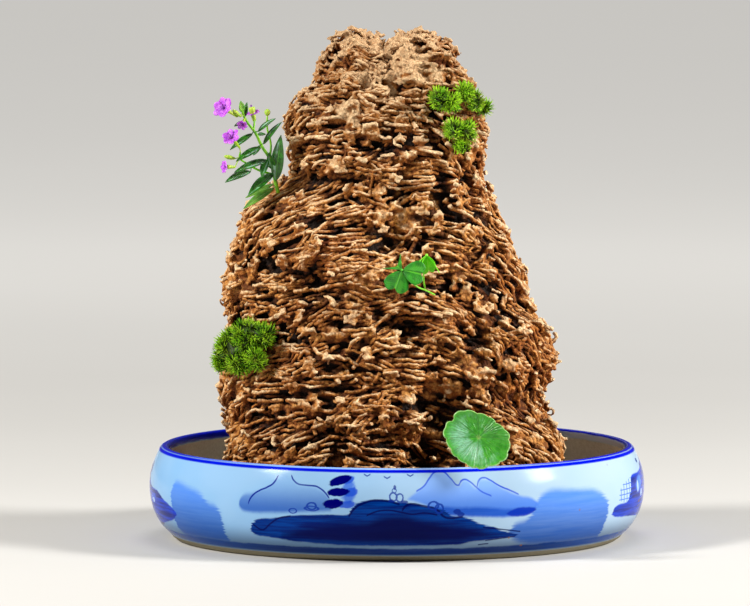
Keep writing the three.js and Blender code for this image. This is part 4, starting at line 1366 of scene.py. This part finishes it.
YOUNG_LEAVES = (10, 11, 16)  # numbers of the paler leaves
PETALS = 6
STAMENS = 5
BUD_STEPS = 10


def turned_bud(profile, length, wide):
    """A closed form spun round +X from (share along, share of the width) points."""
    bm = bmesh.new()
    verts = [bm.verts.new(millimetres(t * length, 0, max(w, 0.02) * wide)) for t, w in profile]
    spun(bm, verts, (1, 0, 0), BUD_STEPS, 1e-7)
    return mesh_of(bm)


def joint(foot):
    """A thin stalk from the nearest place on the sprig's stems to a foot."""
    foot = Vector(foot)
    places = [
        Vector(a).lerp(Vector(b), share / 8)
        for _, _, points in SPRIG_STEMS.values() for a, b in zip(points, points[1:]) for share in range(9)]
    root = min(places, key=lambda place: (place - foot).length)
    reach = foot - root
    bend = root.lerp(foot, 0.5) + Vector((0, 0, 0.08 * reach.length))
    return stem_mesh([root, bend, foot + reach * 0.08], 0.24, 0.2, 4, 2)


def petal_width(reach):
    """Half the width of a petal as a function of the share along it."""
    return lambda t: reach * 0.36 * (0.22 + 0.85 * math.sin(math.pi * min(1, t * 0.78)) ** 1.3)


def sprig():
    green = stem_finish("sprig stem", (98, 178, 8), (148, 220, 28))
    # The glossy leaves get a pale blue-green painted highlight streak.
    leaf = leaf_finish("glossy sprig leaf", (8, 58, 0), (38, 122, 8), (92, 168, 50), 12.0, 0.28,
                       (176, 228, 200), 0.2)
    fresh = leaf_finish("young sprig leaf", (74, 140, 34), (122, 182, 54), (170, 214, 110), 10.0, 0.35)
    for name, (radius, tip_radius, points) in SPRIG_STEMS.items():
        piece(f"{name}_round", stem_mesh(points, radius, tip_radius), green, "stem", name)
    for n, (foot, tip, width, droop, roll) in enumerate(SPRIG_LEAVES, 1):
        node = f"sprig_leaf_{n:02d}"
        mesh = blade((Vector(tip) - Vector(foot)).length, lance(width * 1.05), droop, 0.3, 0.28, 16, 6)
        blade_mesh = placed(mesh, foot, tip, roll, LEAF_FACES)
        skin = fresh if n in YOUNG_LEAVES else leaf
        piece(f"{node}_veined", merged([blade_mesh, joint(foot)]), skin, "leaf", node)

    calyx = Finish("ribbed flower tube", roughness=0.5)
    rib = calyx.noise(0.8, 2, 0.5)
    calyx.dress(calyx.mix(rib.rise(0.35, 0.65), (136, 186, 40), (190, 208, 66)), 0.5, rib, 0.1)
    petal = Finish("crinkled mauve petal", roughness=0.55, subsurface_weight=0.15, subsurface_scale=0.001)
    t, s = petal.attribute("along"), abs(petal.attribute("across"))
    tint = petal.layered(
        petal.mix(petal.noise(1.6, 3).rise(0.35, 0.7), (176, 62, 214), (222, 130, 244)),
        (t.rise(0.45, 0.05) * 0.8, (120, 20, 150)),
        (s.rise(0.12, 0.02) * t.rise(0.95, 0.3) * 0.6, (132, 28, 170)))
    petal.dress(tint, 0.5, petal.noise(0.7, 3), 0.25)
    tube = [
        (0, 0.0), (0.02, 0.5), (0.25, 0.62), (0.6, 0.8), (0.86, 1.0), (1.0, 0.86), (0.98, 0.5), (0.9, 0.0)]
    pod = [(0, 0.0), (0.04, 0.45), (0.3, 0.85), (0.6, 1.0), (0.85, 0.7), (0.97, 0.3), (1.0, 0.0)]
    for n, (foot, mouth, wide, share, reach, turn) in enumerate(SPRIG_FLOWERS, 1):
        foot, mouth = Vector(foot), Vector(mouth)
        tube_shape = placed(turned_bud(tube, (mouth - foot).length, wide), foot, mouth)
        ribbed = merged([tube_shape, joint(foot)])
        piece(f"sprig_calyx_{n}_ribbed", ribbed, calyx.material, "stem", f"sprig_calyx_{n}")
        centre = foot.lerp(mouth, share)
        away = ((mouth - foot).normalized() + Vector((0, -turn, 0))).normalized()
        side = away.orthogonal().normalized()
        spread = []
        for k in range(PETALS):
            out = Matrix.Rotation(2 * math.pi * k / PETALS + n, 3, away) @ side
            start = centre + away * 0.2 + out * 0.3
            shape = blade(
                reach * DICE.uniform(0.9, 1.02), petal_width(reach), -0.05 * reach, 0.1, 0.16, 8, 6,
                end=lambda s: 1 - 0.16 * s * s, ripple=0.28)
            spread.append(placed(shape, start, start + out + away * 0.32, DICE.uniform(-14, 14), away))
        for k in range(STAMENS):
            out = Matrix.Rotation(2 * math.pi * k / STAMENS, 3, away) @ side
            thread = stem_mesh([mouth - away * 0.2, mouth + away * 0.9 + out * 0.3], 0.09, 0.13, 3, 1)
            spread.append(thread)
        piece(f"sprig_petals_{n}_crinkled", merged(spread), petal.material, "petal", f"sprig_petals_{n}")
    for n, (foot, tip, wide) in enumerate(SPRIG_BUDS, 1):
        length = (Vector(tip) - Vector(foot)).length
        pod_shape = placed(turned_bud(pod, length, wide), foot, tip)
        ribbed = merged([pod_shape, joint(foot)])
        piece(f"sprig_bud_{n}_ribbed", ribbed, calyx.material, "stem", f"sprig_bud_{n}")


# Clover: two leaves of three leaflets

CLOVER_LEAFLET = (8.2, 4.9)  # length and half width
# Each leaf's hub, leaflets and stalk. A leaflet is its direction, the way its upper side looks, its size,
# its fold and whether it is pointed.
CLOVER_LEAVES = {
    "front": (
        (1.8, -62, 110.6),
        [((-0.36, -0.12, -0.93), (0.1, -1, 0.1), 1.02, 0.16, False),
         ((0.96, -0.1, -0.2), (0.1, -1, 0.25), 1.0, 0.16, False),
         ((-0.44, 0.86, 0.26), (-0.43, -0.5, 0.7), 0.92, 0.34, True)],
        [(3, -61, 110), (4.8, -59, 106.4), (7.8, -57, 103.6), (11, -53, 101.9), (14.5, -46, 99.6)]),
    "back": (
        (11.4, -54, 115.8),
        [((0.1, -0.25, -0.95), (-0.64, -0.72, 0.2), 0.82, 0.1, False),
         ((-0.5, -0.7, -0.36), (-0.64, 0.06, 0.77), 0.95, 0.05, False),
         ((0.62, -0.2, -0.77), (0.79, 0.05, 0.62), 0.95, 0.05, False)],
        [(11.3, -53.4, 115.4), (10.4, -51, 110.5), (10.3, -48.4, 105.5), (10.8, -43, 102)]),
}


def heart(half, pointed):
    """Half the width of a leaflet along it, and how far it reaches across it."""
    if pointed:
        return lambda t: half * t ** 0.85, lambda s: 0.54 + 0.46 * abs(s) ** 1.4
    return (
        lambda t: half * (0.05 + 0.95 * math.sin(math.pi / 2 * t ** 0.9) ** 0.9),
        lambda s: 0.84 + 0.2 * math.sin(math.pi * min(1.0, abs(s) * 0.95)) ** 0.8 - 0.16 * abs(s) ** 3)


def clover():
    # The front leaf has a faint painted highlight streak. The back leaf is painted lighter, as if lit through
    # from behind.
    front = leaf_finish("clover leaf", (12, 104, 2), (40, 156, 8), (98, 200, 44), 9.0, 0.42, (74, 176, 44))
    back = leaf_finish("painted_backlit clover leaf", (98, 218, 8), (134, 242, 26), (176, 246, 84), 9.0, 0.42)
    green = stem_finish("clover stalk", (108, 190, 36), (150, 228, 70))
    length, half = CLOVER_LEAFLET
    for name, (hub, leaflets, stalk) in CLOVER_LEAVES.items():
        shapes = []
        for way, faces, size, fold, pointed in leaflets:
            wide, end = heart(half, pointed)
            shape = blade(length * size, lambda t: wide(t) * size, 0.4, fold, 0.22, 14, 12, end=end)
            foot = Vector(hub) + Vector(way).normalized() * 0.5
            shapes.append(placed(shape, foot, foot + Vector(way), 0.0, Vector(faces)))
        knob = [Vector(hub) + Vector(step) for step in ((0, 0, -0.4), (0, -0.2, 0.3))]
        shapes.append(stem_mesh(knob, 0.55, 0.4, 3, 2))
        blades = front if name == "front" else back
        piece(f"clover_{name}_hearts", merged(shapes), blades, "leaf", f"clover_leaf_{name}")
        piece(f"clover_{name}_stem", stem_mesh(stalk, 0.3, 0.34), green, "stem", f"clover_stalk_{name}")


# Pennywort: a round scalloped leaf that faces the front and leans back

PAD = {
    "radius": 12.4, "lobes": 16, "veins": 8, "centre": (31.2, -92.4, 48.5), "flat": 0.92, "lean": 76,
    "turn": -4, "cup": 1.6, "wall": 0.45, "steps": 120, "rings": 22, "notch": 2.44, "long": (0.12, 2.46),
    "slip": (-0.6, -1.2),
}
PAD_STALK = [(31.6, -90.6, 48.6), (31, -82, 46.4), (30, -70, 43), (28, -56, 40.5), (26, -44, 39)]


def pennywort():
    bm = bmesh.new()
    turn_layer = bm.verts.layers.float.new("turn")
    reach_layer = bm.verts.layers.float.new("reach")
    rings = PAD["rings"]
    line = [bm.verts.new(millimetres(PAD["radius"] * n / rings + 0.01, 0, 0)) for n in range(rings + 1)]
    spun(bm, line, (0, 0, 1), PAD["steps"], 2e-5, closed=False)
    for vert in bm.verts:
        reach = vert.co.length / MM / PAD["radius"]
        turn = math.atan2(vert.co.y, vert.co.x)
        vert[turn_layer], vert[reach_layer] = turn, reach
        lobe = abs(math.sin(PAD["lobes"] * turn / 2))
        uneven = 1 + 0.025 * math.sin(turn * 3 + 1) + 0.02 * math.sin(turn * 7)
        notch = 0.1 * math.exp(-((turn - PAD["notch"]) / 0.08) ** 2)
        scallop = 1 - (0.055 * (1 - lobe ** 0.6) + notch) * reach ** 4
        dish = PAD["cup"] * 0.75 * reach ** 2 - 0.5 * math.exp(-(reach / 0.09) ** 2)
        wave = 0.4 * math.sin(turn * PAD["veins"] / 2 + 0.6) * reach ** 3
        wave -= 0.28 * lobe * reach * (1 - reach) * 2
        grown = scallop * uneven * (1 + PAD["long"][0] * math.cos(2 * (turn - PAD["long"][1])) * reach ** 2)
        slip = Vector(PAD["slip"]) * reach ** 2 * MM
        vert.co = Vector((
            vert.co.x * grown + slip.x, (vert.co.y * grown + slip.y) * PAD["flat"], (dish + wave + 0.3) * MM))
    thickened(bm, PAD["wall"] * MM)
    shape = mesh_of(bm)
    shape.transform(
        Matrix.Translation(millimetres(*PAD["centre"])) @ Matrix.Rotation(math.radians(PAD["turn"]), 4, "Z")
        @ Matrix.Rotation(math.radians(PAD["lean"]), 4, "X"))

    finish = Finish(
        "waxy pennywort leaf", specular_ior_level=0.45, subsurface_weight=0.12, subsurface_scale=0.002,
        coat_weight=0.15, coat_roughness=0.3)
    turn, reach = finish.attribute("turn"), finish.attribute("reach")
    shake = (finish.noise(4, 3) - 0.5) * 0.12
    spoke = abs(((turn + shake) * (PAD["veins"] / (2 * math.pi)) + 0.5).math("FRACT") - 0.5)
    vein = (spoke * reach).rise(0.030, 0.010) * reach.rise(0.95, 0.6)
    fork = abs(((turn + shake * 1.6) * (2 * PAD["veins"] / (2 * math.pi)) + 0.25).math("FRACT") - 0.5)
    twig = (fork * reach).rise(0.035, 0.012) * reach.rise(0.45, 0.7) * reach.rise(1.0, 0.85) * 0.6
    veins = vein.most(twig)
    cloud = finish.noise(6, 3)
    across, _, height = finish.axes()
    wrinkle = abs(((turn + shake * 2) * (46 / (2 * math.pi))).math("FRACT") - 0.5) * reach.rise(0.1, 0.5)
    green = finish.mix(finish.noise(2, 3).rise(0.3, 0.7), (42, 140, 18), (72, 170, 44))
    # Painted highlight: a pale blue-white sheen towards the lower left, broken up by clouds and the wrinkles.
    lower = (PAD["centre"][0] - 1 - across) * 0.022 + (PAD["centre"][2] - height) * 0.012
    sheen_highlight = (cloud + lower + wrinkle * 0.12).rise(0.44, 0.66) * reach.rise(1.0, 0.6)
    green = finish.layered(
        green,
        (sheen_highlight * 0.75, (144, 204, 172)),
        (finish.noise(1.1, 3, 0.6).rise(0.5, 0.62) * 0.4, (56, 150, 40)),
        (reach.rise(0.12, 0.0) * 0.9, (196, 226, 120)),
        (reach.rise(0.9, 0.95) * 0.6, (74, 168, 40)),
        (reach.rise(0.965, 0.985) * 0.6, (176, 220, 140)),
        (veins * 0.65, (52, 140, 40)))
    finish.dress(green, 0.28 + cloud * 0.2, veins * -0.7 + wrinkle * 0.9 + finish.noise(1.3, 3) * 0.4, 0.35)
    piece("pennywort_leaf_scalloped", shape, finish.material, "leaf", "pennywort_leaf")
    stalk = stem_finish("pennywort stalk", (104, 168, 60), (150, 200, 96))
    piece("pennywort_stem", stem_mesh(PAD_STALK, 0.62, 0.8, 12), stalk, "stem", "pennywort_stalk")


# Stage, light and camera

FLOOR_REACH = 6.5  # metres from the middle to each edge of the floor
CAMERA_HEIGHT = 400.0
CAMERA_DISTANCE = 3600.0
AIM = (-8.6, 0.0, 92.4)
FOCAL = 440.8
LAMPS = [  # name, place in metres, size, power and tint
    ("key", (-1.02, -0.42, 0.86), 0.24, 20.5, (1.0, 0.97, 0.92)),
    ("fill", (1.14, -0.28, 0.7), 0.3, 25, (1.0, 0.98, 0.95)),
    ("top", (0.05, 0.3, 1.2), 0.5, 3.5, (1.0, 0.99, 0.97)),
]


def stage():
    bm = bmesh.new()
    bmesh.ops.create_grid(bm, x_segments=4, y_segments=4, size=FLOOR_REACH)
    floor = linked("floor", mesh_of(bm))
    finish = Finish("studio floor", roughness=0.8, emission_strength=1.0)
    finish.dress(finish.mix(finish.noise(300, 2), (198, 197, 194), (206, 205, 202)))
    # The floor glows more the further out it lies: painted light standing in for a bright surround.
    x, y, _ = finish.axes()
    far = ((x ** 2 + y ** 2) ** 0.5).rise(250, 1500)
    finish.feed(finish.shader.inputs["Emission Color"], finish.mix(far, (0, 0, 0), (188, 186, 182)))
    floor.data.materials.append(finish.material)

    world = bpy.data.worlds.new("soft surround")
    world.use_nodes = True
    world.node_tree.nodes["Background"].inputs["Color"].default_value = (1.0, 0.975, 0.94, 1.0)
    world.node_tree.nodes["Background"].inputs["Strength"].default_value = 0.1
    bpy.context.scene.world = world
    bpy.context.scene.view_settings.view_transform = "Standard"

    for name, place, size, power, tint in LAMPS:
        lamp = bpy.data.lights.new(name, "AREA")
        lamp.size = size
        lamp.energy = power
        lamp.color = tint
        holder = linked(name, lamp)
        holder.location = place
        holder.rotation_euler = (Vector((0, 0, 0.08)) - Vector(place)).to_track_quat("-Z", "Y").to_euler()

    lens = bpy.data.cameras.new("camera")
    lens.lens = FOCAL
    lens.sensor_width = 36
    lens.clip_end = 20
    camera = linked("camera", lens)
    camera.location = millimetres(AIM[0], -CAMERA_DISTANCE, CAMERA_HEIGHT)
    camera.rotation_euler = (millimetres(*AIM) - camera.location).to_track_quat("-Z", "Y").to_euler()
    bpy.context.scene.camera = camera


stage()
tray()
stone()
moss()
sprig()
clover()
pennywort()
